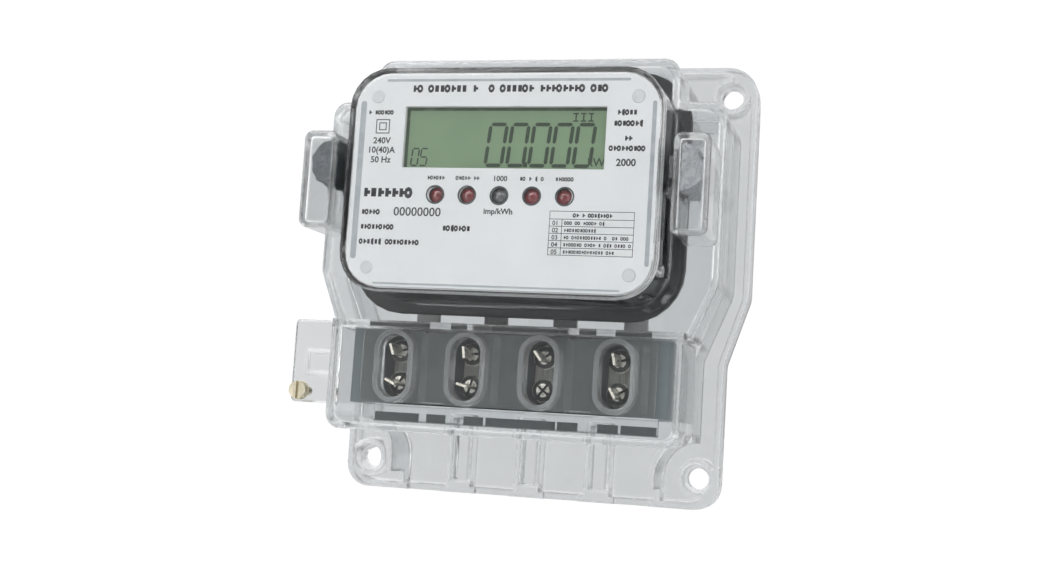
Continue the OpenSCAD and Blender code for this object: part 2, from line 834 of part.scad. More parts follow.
module seal_washer() {
  color(brass)
    difference() {
      along_y(ear_screw_x, ear_screw_z, 3.1, ear_front_y - 0.02 - washer_t, ear_front_y - 0.02);
      along_y(ear_screw_x, ear_screw_z, seal_screw_r + 0.05, ear_front_y - 2, 0);
    }
}

module seal_screw() {
  head_back = ear_front_y - 0.04 - washer_t;
  color(brass)
    difference() {
      union() {
        along_y(ear_screw_x, ear_screw_z, seal_head_r, head_back - 2.2, head_back);
        along_y(ear_screw_x, ear_screw_z, seal_screw_r, head_back - 0.5, -38);
        translate([ear_screw_x, -38.01, ear_screw_z]) rotate([-90, 0, 0])
          cylinder(r1 = seal_screw_r, r2 = 0.4, h = 2.5);
      }
      block([ear_screw_x - 0.45, head_back - 3, ear_screw_z - 4],
            [ear_screw_x + 0.45, head_back - 1.1, ear_screw_z + 4]);
      // Cross hole for the seal wire
      translate([ear_screw_x, head_back - 0.55, ear_screw_z]) cylinder(r = 0.4, h = 10, center = true);
    }
}

// ---- Drawing ------------------------------------------------------------------------

base();
main_cover();
cover_gasket();
case_screws();
seal_cap_left();
seal_cap_right();
seal_plug_left();
seal_plug_right();
inner_case();
nameplate();
nameplate_pins();
lcd_frame();
lcd_panel();
lcd_backlight();
lcd_pins();
tamper_lamps();
pulse_lamp();
main_board();
board_screws();
metering_chip();
supply_capacitor();
smoothing_capacitors();
surge_arrester();
backup_battery();
phase_in_bar();
phase_out_bar();
current_shunt();
neutral_bar();
current_transformer();
sense_leads();
terminal_block();
terminal_shield();
terminal_barrel_1();
terminal_barrel_2();
terminal_barrel_3();
terminal_barrel_4();
clamp_foot_1_upper();
clamp_foot_1_lower();
clamp_foot_2_upper();
clamp_foot_2_lower();
clamp_foot_3_upper();
clamp_foot_3_lower();
clamp_foot_4_upper();
clamp_foot_4_lower();
terminal_screw_1_upper();
terminal_screw_1_lower();
terminal_screw_2_upper();
terminal_screw_2_lower();
terminal_screw_3_upper();
terminal_screw_3_lower();
terminal_screw_4_upper();
terminal_screw_4_lower();
terminal_cover();
seal_screw();
seal_washer();
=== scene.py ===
"""Looks of a wall-mounted electricity meter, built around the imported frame."""

import logging
import math
from dataclasses import dataclass, field
from enum import Enum
from typing import Sequence

import bmesh
import bpy
from mathutils import Matrix, Vector


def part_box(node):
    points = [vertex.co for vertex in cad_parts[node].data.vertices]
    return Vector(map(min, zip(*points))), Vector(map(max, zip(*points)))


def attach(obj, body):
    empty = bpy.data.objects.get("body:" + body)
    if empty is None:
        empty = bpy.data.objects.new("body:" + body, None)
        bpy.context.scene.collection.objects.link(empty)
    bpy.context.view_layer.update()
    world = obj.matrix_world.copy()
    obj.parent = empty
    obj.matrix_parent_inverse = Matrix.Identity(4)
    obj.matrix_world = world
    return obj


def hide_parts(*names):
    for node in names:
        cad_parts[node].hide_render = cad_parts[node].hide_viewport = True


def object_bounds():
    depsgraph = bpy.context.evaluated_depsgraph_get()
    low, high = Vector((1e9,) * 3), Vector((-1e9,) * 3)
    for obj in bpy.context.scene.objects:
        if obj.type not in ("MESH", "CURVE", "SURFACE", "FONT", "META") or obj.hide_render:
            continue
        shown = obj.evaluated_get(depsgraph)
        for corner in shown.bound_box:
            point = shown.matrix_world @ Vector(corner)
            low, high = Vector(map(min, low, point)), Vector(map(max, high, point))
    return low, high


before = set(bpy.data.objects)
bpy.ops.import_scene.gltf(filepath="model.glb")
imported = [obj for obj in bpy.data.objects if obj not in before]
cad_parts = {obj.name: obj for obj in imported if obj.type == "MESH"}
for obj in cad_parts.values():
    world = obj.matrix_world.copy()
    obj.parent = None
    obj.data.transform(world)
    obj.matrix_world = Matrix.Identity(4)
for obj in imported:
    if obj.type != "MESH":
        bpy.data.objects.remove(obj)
CAD_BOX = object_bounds()

LOG = logging.getLogger("meter")
MM = 0.001
ROOT = "root"
TINY = 1e-6
FLAT_ANGLE = 1
SHARP_ANGLE = 40
FLAT_WEIGHT = 90

Point = tuple[float, float]
Corner = tuple[float, float, float]


# ---- Finishes ---------------------------------------------------------------


class Grain(Enum):
    """How a finish is broken up: the pattern behind its colour, gloss and relief."""

    CLOUDY = "cloudy"
    BRUSHED = "brushed"
    TURNED = "turned"
    SPECKLED = "speckled"
    CRUMPLED = "crumpled"


STRETCH = {Grain.BRUSHED: (1.0, 0.12, 0.04), Grain.TURNED: (1.0, 0.15, 1.0)}
EVEN = (1.0, 1.0, 1.0)
GRAIN_LOW, GRAIN_HIGH = 0.3, 0.7
RUBBED_FROM, RUBBED_TO = 0.5, 0.6
COAT_ROUGHNESS = 0.08


@dataclass(frozen=True)
class Finish:
    """One surface finish.

    Args:
        name: Name of the material.
        color: Main colour.
        accent: Colour that the grain mixes in.
        gloss: Lowest and highest roughness.
        grain: Pattern of the surface.
        scale: Grain cells per metre.
        relief: Strength of the bump.
        depth: Height of the bump in metres.
        metallic: Whether the surface is bare metal.
        clear: How much light passes through.
        ior: Index of refraction.
        coat: Weight of a clear coat.
        wear: How strongly raised edges are rubbed bright.
        edge: Radius in metres by which the light sees sharp edges rounded.
    """

    name: str
    color: tuple[float, float, float]
    accent: tuple[float, float, float]
    gloss: tuple[float, float] = (0.3, 0.45)
    grain: Grain = Grain.CLOUDY
    scale: float = 400.0
    relief: float = 0.15
    depth: float = 0.00005
    metallic: float = 0.0
    clear: float = 0.0
    ior: float = 1.5
    coat: float = 0.0
    wear: float = 0.0
    edge: float = 0.0

    def material(self) -> bpy.types.Material:
        """Returns the finish's material, made on first use."""
        label = f"look_{self.name}"
        found = bpy.data.materials.get(label)
        if found:
            return found
        material = bpy.data.materials.new(label)
        material.use_nodes = True
        tree = material.node_tree
        shader = tree.nodes["Principled BSDF"]
        shader.inputs["Metallic"].default_value = self.metallic
        shader.inputs["IOR"].default_value = self.ior
        shader.inputs["Transmission Weight"].default_value = self.clear
        shader.inputs["Coat Weight"].default_value = self.coat
        shader.inputs["Coat Roughness"].default_value = COAT_ROUGHNESS
        pattern = self._pattern(tree)
        self._color(tree, shader, pattern)
        self._roughness(tree, shader, pattern)
        bump = tree.nodes.new("ShaderNodeBump")
        bump.inputs["Strength"].default_value = self.relief
        bump.inputs["Distance"].default_value = self.depth
        if self.edge > 0:
            rounding = tree.nodes.new("ShaderNodeBevel")
            rounding.samples = 4
            rounding.inputs["Radius"].default_value = self.edge
            tree.links.new(rounding.outputs["Normal"], bump.inputs["Normal"])
        tree.links.new(pattern, bump.inputs["Height"])
        tree.links.new(bump.outputs["Normal"], shader.inputs["Normal"])
        return material

    def _pattern(self, tree: bpy.types.NodeTree) -> bpy.types.NodeSocket:
        """Builds the grain.

        Args:
            tree: The material's node tree.

        Returns:
            A socket that runs from 0 to 1 over the grain.
        """
        place = tree.nodes.new("ShaderNodeTexCoord")
        mapping = tree.nodes.new("ShaderNodeMapping")
        tree.links.new(place.outputs["Object"], mapping.inputs["Vector"])
        mapping.inputs["Scale"].default_value = STRETCH.get(self.grain, EVEN)
        if self.grain is Grain.SPECKLED:
            cells = tree.nodes.new("ShaderNodeTexVoronoi")
            cells.inputs["Scale"].default_value = self.scale
            tree.links.new(mapping.outputs["Vector"], cells.inputs["Vector"])
            return cells.outputs["Distance"]
        noise = tree.nodes.new("ShaderNodeTexNoise")
        noise.inputs["Scale"].default_value = self.scale
        noise.inputs["Detail"].default_value = 6.0 if self.grain is Grain.CRUMPLED else 3.0
        noise.inputs["Roughness"].default_value = 0.65
        if self.grain is Grain.CRUMPLED:
            noise.inputs["Distortion"].default_value = 1.2
        tree.links.new(mapping.outputs["Vector"], noise.inputs["Vector"])
        return noise.outputs["Fac"]

    def _color(self, tree: bpy.types.NodeTree, shader: bpy.types.Node,
               pattern: bpy.types.NodeSocket) -> None:
        """Mixes the colour and its accent by the grain, and rubs the edges bright where it wears.

        Args:
            tree: The material's node tree.
            shader: The shader that takes the colour.
            pattern: The grain.
        """
        ramp = tree.nodes.new("ShaderNodeValToRGB")
        ramp.color_ramp.elements[0].position = GRAIN_LOW
        ramp.color_ramp.elements[0].color = (*self.accent, 1.0)
        ramp.color_ramp.elements[1].position = GRAIN_HIGH
        ramp.color_ramp.elements[1].color = (*self.color, 1.0)
        tree.links.new(pattern, ramp.inputs["Fac"])
        last = ramp.outputs["Color"]
        if self.wear > 0:
            geometry = tree.nodes.new("ShaderNodeNewGeometry")
            edge = tree.nodes.new("ShaderNodeMapRange")
            edge.inputs["From Min"].default_value = RUBBED_FROM
            edge.inputs["From Max"].default_value = RUBBED_TO
            edge.inputs["To Max"].default_value = self.wear
            mix = tree.nodes.new("ShaderNodeMix")
            mix.data_type = "RGBA"
            mix.inputs["B"].default_value = (*[min(1.0, c * 1.5 + 0.08) for c in self.color], 1.0)
            tree.links.new(geometry.outputs["Pointiness"], edge.inputs["Value"])
            tree.links.new(edge.outputs["Result"], mix.inputs["Factor"])
            tree.links.new(last, mix.inputs["A"])
            last = mix.outputs["Result"]
        tree.links.new(last, shader.inputs["Base Color"])

    def _roughness(self, tree: bpy.types.NodeTree, shader: bpy.types.Node,
                   pattern: bpy.types.NodeSocket) -> None:
        """Runs the roughness between its two limits with the grain.

        Args:
            tree: The material's node tree.
            shader: The shader that takes the roughness.
            pattern: The grain.
        """
        spread = tree.nodes.new("ShaderNodeMapRange")
        spread.inputs["From Min"].default_value = GRAIN_LOW
        spread.inputs["From Max"].default_value = GRAIN_HIGH
        spread.inputs["To Min"].default_value = self.gloss[0]
        spread.inputs["To Max"].default_value = self.gloss[1]
        tree.links.new(pattern, spread.inputs["Value"])
        tree.links.new(spread.outputs["Result"], shader.inputs["Roughness"])


CLEAR = Finish("clear_polycarbonate", (0.935, 0.945, 0.95), (0.9, 0.915, 0.92), (0.015, 0.05),
               scale=60, relief=0.05, depth=0.0002, clear=1.0, ior=1.57, edge=0.0013)
FROSTED = Finish("frosted_polycarbonate", (0.95, 0.96, 0.96), (0.9, 0.92, 0.92), (0.12, 0.22), scale=40,
                 relief=0.04, clear=0.78, ior=1.57, coat=0.4)
HAZY = Finish("hazy_polycarbonate", (0.86, 0.88, 0.88), (0.8, 0.82, 0.82), (0.08, 0.2), scale=90, relief=0.08,
              depth=0.0002, clear=0.95, ior=1.57, edge=0.0008)
CLEAR_BASE = Finish("clear_base_polycarbonate", (0.84, 0.855, 0.86), (0.8, 0.815, 0.82), (0.03, 0.09),
                    scale=80, relief=0.08, depth=0.0002, clear=1.0, ior=1.57, edge=0.0016)
GASKET = Finish("gasket_rubber", (0.018, 0.02, 0.021), (0.008, 0.009, 0.01), (0.3, 0.5), scale=900,
                relief=0.2)
CHARCOAL = Finish("charcoal_plastic", (0.05, 0.06, 0.063), (0.03, 0.037, 0.04), (0.28, 0.42),
                  scale=1500, relief=0.25, wear=0.25)
PLATE_WHITE = Finish("nameplate_white", (0.95, 0.955, 0.96), (0.92, 0.93, 0.94), (0.35, 0.5), scale=700,
                     relief=0.05)
PIN_WHITE = Finish("pin_plastic", (0.82, 0.83, 0.84), (0.74, 0.75, 0.77), (0.25, 0.4), scale=500, relief=0.1)
WARM_WHITE = Finish("bezel_plastic", (0.66, 0.66, 0.6), (0.58, 0.58, 0.53), (0.35, 0.5), scale=900,
                    relief=0.15)
INK = Finish("printing_ink", (0.02, 0.02, 0.025), (0.05, 0.05, 0.055), (0.45, 0.6), scale=3000, relief=0.1)
LCD_GREEN = Finish("lcd_glass", (0.26, 0.38, 0.225), (0.235, 0.35, 0.205), (0.12, 0.2), scale=25, relief=0.02,
                   depth=0.0001, coat=0.6)
LCD_INK = Finish("lcd_segment", (0.02, 0.045, 0.018), (0.03, 0.06, 0.026), (0.25, 0.4), scale=1200,
                 relief=0.05)
RED_LENS = Finish("red_lens", (0.46, 0.015, 0.025), (0.3, 0.008, 0.014), (0.06, 0.14), scale=600, relief=0.05,
                  clear=0.35, coat=1.0)
CLEAR_LENS = Finish("smoke_lens", (0.24, 0.26, 0.27), (0.16, 0.17, 0.18), (0.06, 0.14), scale=600,
                    relief=0.05, clear=0.45, coat=1.0)
SEAL_GREY = Finish("seal_compound", (0.2, 0.22, 0.235), (0.06, 0.07, 0.08), (0.4, 0.75), Grain.CRUMPLED,
                   scale=420, relief=0.9, depth=0.0005)
SLATE = Finish("slate_phenolic", (0.15, 0.18, 0.19), (0.115, 0.14, 0.15), (0.38, 0.55), scale=1100,
               relief=0.3, wear=0.3)
NICKEL = Finish("nickel_steel", (0.78, 0.76, 0.69), (0.5, 0.48, 0.42), (0.22, 0.42), Grain.TURNED, scale=1600,
                relief=0.2, depth=0.00004, metallic=0.7)
RECESS = Finish("recess_shadow", (0.07, 0.068, 0.06), (0.03, 0.03, 0.028), (0.5, 0.7), scale=800, relief=0.1,
                metallic=0.4)
BRIGHT = Finish("bright_plating", (0.95, 0.94, 0.89), (0.82, 0.8, 0.74), (0.2, 0.4), Grain.BRUSHED, scale=900,
                relief=0.1, metallic=0.15)
BRASS = Finish("turned_brass", (0.56, 0.52, 0.4), (0.47, 0.43, 0.32), (0.25, 0.38), Grain.TURNED, scale=350,
               relief=0.05, depth=0.00003, metallic=0.9)
SHUNT = Finish("shunt_alloy", (0.5, 0.44, 0.36), (0.36, 0.31, 0.26), (0.3, 0.5), Grain.BRUSHED, scale=600,
               relief=0.2, metallic=1.0)
BOARD = Finish("solder_mask", (0.02, 0.16, 0.05), (0.015, 0.1, 0.035), (0.25, 0.4), Grain.SPECKLED, scale=500,
               relief=0.2, coat=0.4)
EPOXY = Finish("black_epoxy", (0.02, 0.02, 0.022), (0.035, 0.035, 0.037), (0.45, 0.6), Grain.SPECKLED,
               scale=2500, relief=0.3)
FILM = Finish("film_capacitor", (0.55, 0.33, 0.04), (0.45, 0.26, 0.03), (0.25, 0.4), scale=500, relief=0.1,
              coat=0.5)
SLEEVE = Finish("capacitor_sleeve", (0.02, 0.03, 0.1), (0.015, 0.02, 0.06), (0.2, 0.35), scale=400,
                relief=0.1)
VARISTOR = Finish("varistor_coat", (0.03, 0.09, 0.32), (0.02, 0.06, 0.22), (0.3, 0.5), scale=900, relief=0.4)
CAN = Finish("battery_can", (0.6, 0.6, 0.58), (0.45, 0.45, 0.44), (0.2, 0.4), Grain.BRUSHED, scale=700,
             relief=0.2, metallic=1.0)
WINDING = Finish("winding_tape", (0.03, 0.05, 0.2), (0.02, 0.035, 0.13), (0.4, 0.6), scale=700, relief=0.3)
WIRE = Finish("lead_sleeve", (0.4, 0.02, 0.02), (0.28, 0.015, 0.015), (0.3, 0.45), scale=900, relief=0.1)
# Painted shadow: the dark green strip where the display opening's edge shades the top and left of the glass.
LCD_SHADE = Finish("lcd_shade", (0.075, 0.12, 0.07), (0.06, 0.1, 0.055), (0.2, 0.3), scale=200, relief=0.02)
SEAL_PALE = Finish("pale_compound", (0.62, 0.63, 0.64), (0.22, 0.23, 0.25), (0.25, 0.6), Grain.CRUMPLED,
                   scale=520, relief=0.9, depth=0.0006, metallic=0.35)
TINNED = Finish("tinned_strip", (0.96, 0.96, 0.95), (0.9, 0.9, 0.88), (0.45, 0.65), Grain.BRUSHED, scale=700,
                relief=0.2)
# Painted shade: the grey that stands for the shaded bevelled rim round the nameplate.
BEVEL_SHADE = Finish("painted_bevel_shade", (0.42, 0.45, 0.47), (0.55, 0.58, 0.6), (0.3, 0.45), scale=300, relief=0.05)
GUIDE = Finish("light_guide", (0.75, 0.78, 0.7), (0.66, 0.69, 0.62), (0.2, 0.35), scale=400, relief=0.1,
               clear=0.3)


# ---- Outlines and meshes ------------------------------------------------------


def rounded(corners: Sequence[Corner], steps: int = 8) -> list[Point]:
    """Rounds the corners of a closed outline.

    Args:
        corners: Each corner's x, z and radius.
        steps: Stretches in each arc.

    Returns:
        The outline's points.
    """
    points: list[Point] = []
    count = len(corners)
    for index, (x, z, radius) in enumerate(corners):
        here = Vector((x, z))
        if radius == 0:
            points.append((x, z))
            continue
        before = (Vector(corners[index - 1][:2]) - here).normalized()
        after = (Vector(corners[(index + 1) % count][:2]) - here).normalized()
        half = before.angle(after) / 2
        middle = here + (before + after).normalized() * radius / math.sin(half)
        start = here + before * radius / math.tan(half) - middle
        end = here + after * radius / math.tan(half) - middle
        first = math.atan2(start.y, start.x)
        turn = (math.atan2(end.y, end.x) - first + 3 * math.pi) % (2 * math.pi) - math.pi
        for step in range(steps + 1):
            angle = first + turn * step / steps
            points.append((middle.x + radius * math.cos(angle), middle.y + radius * math.sin(angle)))
    return points


def oblong(x: float, z: float, width: float, height: float, radius: float) -> list[Point]:
    """Draws a rectangle with round corners.

    Args:
        x: Middle across.
        z: Middle of its height.
        width: Its width.
        height: Its height.
        radius: Radius of the corners.

    Returns:
        The outline's points.
    """
    w, h = width / 2, height / 2
    return rounded([(x + w, z - h, radius), (x + w, z + h, radius),
                    (x - w, z + h, radius), (x - w, z - h, radius)])


def shrunk(path: Sequence[Point], inset: float) -> list[Point]:
    """Moves an anticlockwise outline inwards.

    Args:
        path: The outline.
        inset: How far it moves.

    Returns:
        The smaller outline.
    """
    sharpest = 0.4
    count = len(path)
    result: list[Point] = []
    for index, (x, z) in enumerate(path):
        back = Vector(path[index - 1])
        here = Vector((x, z))
        ahead = Vector(path[(index + 1) % count])
        first = (here - back).normalized()
        second = (ahead - here).normalized()
        one = Vector((-first.y, first.x))
        two = Vector((-second.y, second.x))
        total = one + two
        scale = inset * 2 / max(total.length_squared, sharpest)
        result.append((x + total.x * scale, z + total.y * scale))
    return result


def mesh_object(name: str, mesh: bpy.types.Mesh) -> bpy.types.Object:
    """Puts a mesh into the scene.

    Args:
        name: Name of the object.
        mesh: Its mesh.

    Returns:
        The object.
    """
    made = bpy.data.objects.new(name, mesh)
    bpy.context.scene.collection.objects.link(made)
    return made


def from_bmesh(name: str, bm: bmesh.types.BMesh) -> bpy.types.Object:
    """Turns a bmesh into an object, with its faces turned outwards.

    Args:
        name: Name of the object.
        bm: The bmesh, which is used up.

    Returns:
        The object.
    """
    bmesh.ops.recalc_face_normals(bm, faces=bm.faces)
    mesh = bpy.data.meshes.new(name)
    bm.to_mesh(mesh)
    bm.free()
    return mesh_object(name, mesh)


def loft(name: str, loops: Sequence[Sequence[Vector]]) -> bpy.types.Object:
    """Skins a stack of loops with the same number of points, and closes both ends.

    Args:
        name: Name of the object.
        loops: The loops from one end to the other.

    Returns:
        A closed solid.
    """
    bm = bmesh.new()
    rows = [[bm.verts.new(p) for p in loop] for loop in loops]
    for low, high in zip(rows, rows[1:]):
        for i in range(len(low)):
            j = (i + 1) % len(low)
            bm.faces.new((low[i], low[j], high[j], high[i]))
    bm.faces.new(rows[0])
    bm.faces.new(rows[-1])
    return from_bmesh(name, bm)


def prism(path: Sequence[Point], front: float, back: float, front_round: float = 0.0,
          back_round: float = 0.0, steps: int = 5) -> bpy.types.Object:
    """Makes a solid from an X-Z outline in millimetres, with rounded front and back edges.

    Args:
        path: The outline.
        front: Lower end along Y.
        back: Upper end along Y.
        front_round: Radius of the front edge.
        back_round: Radius of the back edge.
        steps: Stretches in each rounded edge.

    Returns:
        The solid, in metres.
    """
    stations: list[tuple[float, float]] = []
    for step in range(steps + 1 if back_round else 1):
        angle = math.pi / 2 * (1 - step / steps)
        stations.append((back_round * (1 - math.cos(angle)), back - back_round * (1 - math.sin(angle))))
    for step in range(steps + 1 if front_round else 1):
        angle = math.pi / 2 * step / steps if front_round else 0.0
        stations.append((front_round * (1 - math.cos(angle)), front + front_round * (1 - math.sin(angle))))
    loops = []
    for inset, y in stations:
        outline = shrunk(path, inset) if inset else path
        loops.append([Vector((x * MM, y * MM, z * MM)) for x, z in outline])
    return loft("solid", loops)


def slab(low: Sequence[float], high: Sequence[float], edge: float = 0.0) -> bpy.types.Object:
    """Makes a box.

    Args:
        low: Its lowest corner in millimetres.
        high: Its highest corner.
        edge: Radius of its edges, or 0 for sharp ones.

    Returns:
        The box, in metres.
    """
    middle_x, middle_z = (low[0] + high[0]) / 2, (low[2] + high[2]) / 2
    width, height = high[0] - low[0], high[2] - low[2]
    if edge:
        return prism(oblong(middle_x, middle_z, width, height, edge), low[1], high[1], edge, edge)
    path = [(high[0], low[2]), (high[0], high[2]), (low[0], high[2]), (low[0], low[2])]
    return prism(path, low[1], high[1])


def applied(obj: bpy.types.Object) -> bpy.types.Object:
    """Turns an object's modifiers into its plain mesh.

    Args:
        obj: The object.

    Returns:
        The same object.
    """
    bpy.context.view_layer.update()
    graph = bpy.context.evaluated_depsgraph_get()
    mesh = bpy.data.meshes.new_from_object(obj.evaluated_get(graph), preserve_all_data_layers=True,
                                           depsgraph=graph)
    obj.modifiers.clear()
    old = obj.data
    obj.data = mesh
    bpy.data.meshes.remove(old)
    return obj


def smoothed(obj: bpy.types.Object, angle: float = 38.0) -> bpy.types.Object:
    """Shades a mesh smooth between its sharp edges, with flat faces kept flat.

    Args:
        obj: The object.
        angle: Least turn of a sharp edge in degrees.

    Returns:
        The same object.
    """
    bm = bmesh.new()
    bm.from_mesh(obj.data)
    bmesh.ops.remove_doubles(bm, verts=bm.verts, dist=2 * TINY)
    bmesh.ops.dissolve_degenerate(bm, edges=bm.edges, dist=TINY)
    bm.to_mesh(obj.data)
    bm.free()
    obj.data.shade_smooth()
    obj.data.set_sharp_from_angle(angle=math.radians(angle))
    weighted = obj.modifiers.new("weighted", "WEIGHTED_NORMAL")
    weighted.keep_sharp = True
    weighted.weight = FLAT_WEIGHT
    return applied(obj)


def softened(node: str, name: str, width: float, segments: int = 2) -> bpy.types.Object:
    """Copies a CAD node's shape and rounds its edges.

    Args:
        node: The CAD node.
        name: Name of the new piece.
        width: Width of the rounding in millimetres.
        segments: Stretches in the rounding.

    Returns:
        The new piece.
    """
    bm = bmesh.new()
    bm.from_mesh(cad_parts[node].data)
    bmesh.ops.remove_doubles(bm, verts=bm.verts, dist=TINY)
    bmesh.ops.dissolve_limit(bm, angle_limit=math.radians(FLAT_ANGLE), verts=bm.verts, edges=bm.edges)
    mesh = bpy.data.meshes.new(name)
    bm.to_mesh(mesh)
    bm.free()
    piece = mesh_object(name, mesh)
    bevel = piece.modifiers.new("bevel", "BEVEL")
    bevel.width = width * MM
    bevel.segments = segments
    bevel.limit_method = "ANGLE"
    bevel.angle_limit = math.radians(SHARP_ANGLE)
    bevel.use_clamp_overlap = True
    applied(piece)
    return smoothed(piece)


def settle(piece: bpy.types.Object, name: str, finish: Finish, slot: str, body: str = ROOT,
           stands_for: Sequence[str] = ()) -> bpy.types.Object:
    """Names a finished piece, dresses it and ties it to the frame.

    Args:
        piece: The piece.
        name: Its name.
        finish: Its finish.
        slot: The record's slot that the finish comes from; not used.
        body: The body that it moves with.
        stands_for: CAD nodes that it replaces.

    Returns:
        The piece.
    """
    piece.name = name
    piece.data.name = name
    piece.data.materials.clear()
    piece.data.materials.append(finish.material())
    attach(piece, body)
    if stands_for:
        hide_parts(*stands_for)
    LOG.info("%s: %d faces on %s", name, len(piece.data.polygons), body)
    return piece


def box_mm(node: str) -> tuple[list[float], list[float]]:
    """Reads a CAD node's box.

    Args:
        node: The node.

    Returns:
        Its lowest and highest corners in millimetres.
    """
    low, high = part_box(node)
    return [v / MM for v in low], [v / MM for v in high]


# ---- Geometry node trees ---------------------------------------------------------


class Tree:
    """A small builder for a geometry node tree with named inputs."""

    def __init__(self, name: str, inputs: dict[str, str]) -> None:
        """Starts a tree.

        Args:
            name: The tree's name.
            inputs: Each input's name and socket type.
        """
        self.group = bpy.data.node_groups.new(name, "GeometryNodeTree")
        self.group.interface.new_socket("Geometry", in_out="OUTPUT", socket_type="NodeSocketGeometry")
        self.keys = {key: self.group.interface.new_socket(key, in_out="INPUT", socket_type=kind).identifier
                     for key, kind in inputs.items()}
        self.input = self.group.nodes.new("NodeGroupInput")
        self.output = self.group.nodes.new("NodeGroupOutput")

    def node(self, kind: str, values: dict[str, object] | None = None, **settings: object) -> bpy.types.Node:
        """Adds a node.

        Args:
            kind: The node's type.
            values: Sockets or constants for its inputs.
            settings: The node's own properties.

        Returns:
            The node.
        """
        made = self.group.nodes.new(kind)
        for key, value in settings.items():
            setattr(made, key, value)
        for key, value in (values or {}).items():
            socket = made.inputs[key]
            if isinstance(value, bpy.types.NodeSocket):
                self.group.links.new(value, socket)
            else:
                socket.default_value = value
        return made

    def times(self, value: bpy.types.NodeSocket, factor: object) -> bpy.types.NodeSocket:
        """Multiplies a number.

        Args:
            value: The number.
            factor: A constant or another number's socket.

        Returns:
            The product.
        """
        return self.node("ShaderNodeMath", {0: value, 1: factor}, operation="MULTIPLY").outputs[0]

    def vector(self, **parts: object) -> bpy.types.NodeSocket:
        """Puts numbers together into a vector.

        Args:
            parts: Constants or sockets for X, Y and Z.

        Returns:
            The vector.
        """
        return self.node("ShaderNodeCombineXYZ", parts).outputs[0]

    def cube(self, **parts: object) -> bpy.types.NodeSocket:
        """Makes a box about the origin.

        Args:
            parts: Its size along X, Y and Z.

        Returns:
            The box.
        """
        return self.node("GeometryNodeMeshCube", {"Size": self.vector(**parts)}).outputs["Mesh"]

    def moved(self, geometry: bpy.types.NodeSocket, **place: object) -> bpy.types.NodeSocket:
        """Moves, turns or scales a geometry.

        Args:
            geometry: The geometry.
            place: Values for Translation, Rotation or Scale.

        Returns:
            The moved geometry.
        """
        return self.node("GeometryNodeTransform", {"Geometry": geometry, **place}).outputs["Geometry"]

    def joined(self, parts: Sequence[bpy.types.NodeSocket]) -> bpy.types.NodeSocket:
        """Joins geometries.

        Args:
            parts: The geometries in their order.

        Returns:
            All of them.
        """
        join = self.node("GeometryNodeJoinGeometry")
        for part in parts:
            self.group.links.new(part, join.inputs["Geometry"])
        return join.outputs["Geometry"]

    def held(self, geometry: bpy.types.NodeSocket) -> bpy.types.NodeSocket:
        """Holds a geometry as one instance, to be picked by its number.

        Args:
            geometry: The geometry.

        Returns:
            The instance.
        """
        return self.node("GeometryNodeGeometryToInstance", {"Geometry": geometry}).outputs[0]

    def solid(self, kind: str, *meshes: bpy.types.NodeSocket) -> bpy.types.NodeSocket:
        """Intersects or unites meshes, or cuts the later ones from the first.

        Args:
            kind: INTERSECT, UNION or DIFFERENCE.
            meshes: The meshes.

        Returns:
            The result.
        """
        made = self.node("GeometryNodeMeshBoolean", operation=kind)
        for index, mesh in enumerate(meshes):
            key = "Mesh 1" if kind == "DIFFERENCE" and index == 0 else "Mesh 2"
            self.group.links.new(mesh, made.inputs[key])
        return made.outputs["Mesh"]

    def finish(self, geometry: bpy.types.NodeSocket) -> None:
        """Ends the tree in Realize Instances and Set Material.

        Args:
            geometry: The tree's result.
        """
        real = self.node("GeometryNodeRealizeInstances", {"Geometry": geometry})
        dressed = self.node("GeometryNodeSetMaterial", {"Geometry": real.outputs["Geometry"],
                                                        "Material": self.input.outputs["Material"]})
        self.group.links.new(dressed.outputs["Geometry"], self.output.inputs["Geometry"])

    def make(self, name: str, values: dict[str, object]) -> bpy.types.Object:
        """Runs the tree and returns its result as a plain mesh.

        Args:
            name: Name of the object.
            values: The inputs' values by name.

        Returns:
            The object.
        """
        made = mesh_object(name, bpy.data.meshes.new(name))
        modifier = made.modifiers.new("nodes", "NODES")
        modifier.node_group = self.group
        for key, value in values.items():
            modifier[self.keys[key]] = value
        return applied(made)


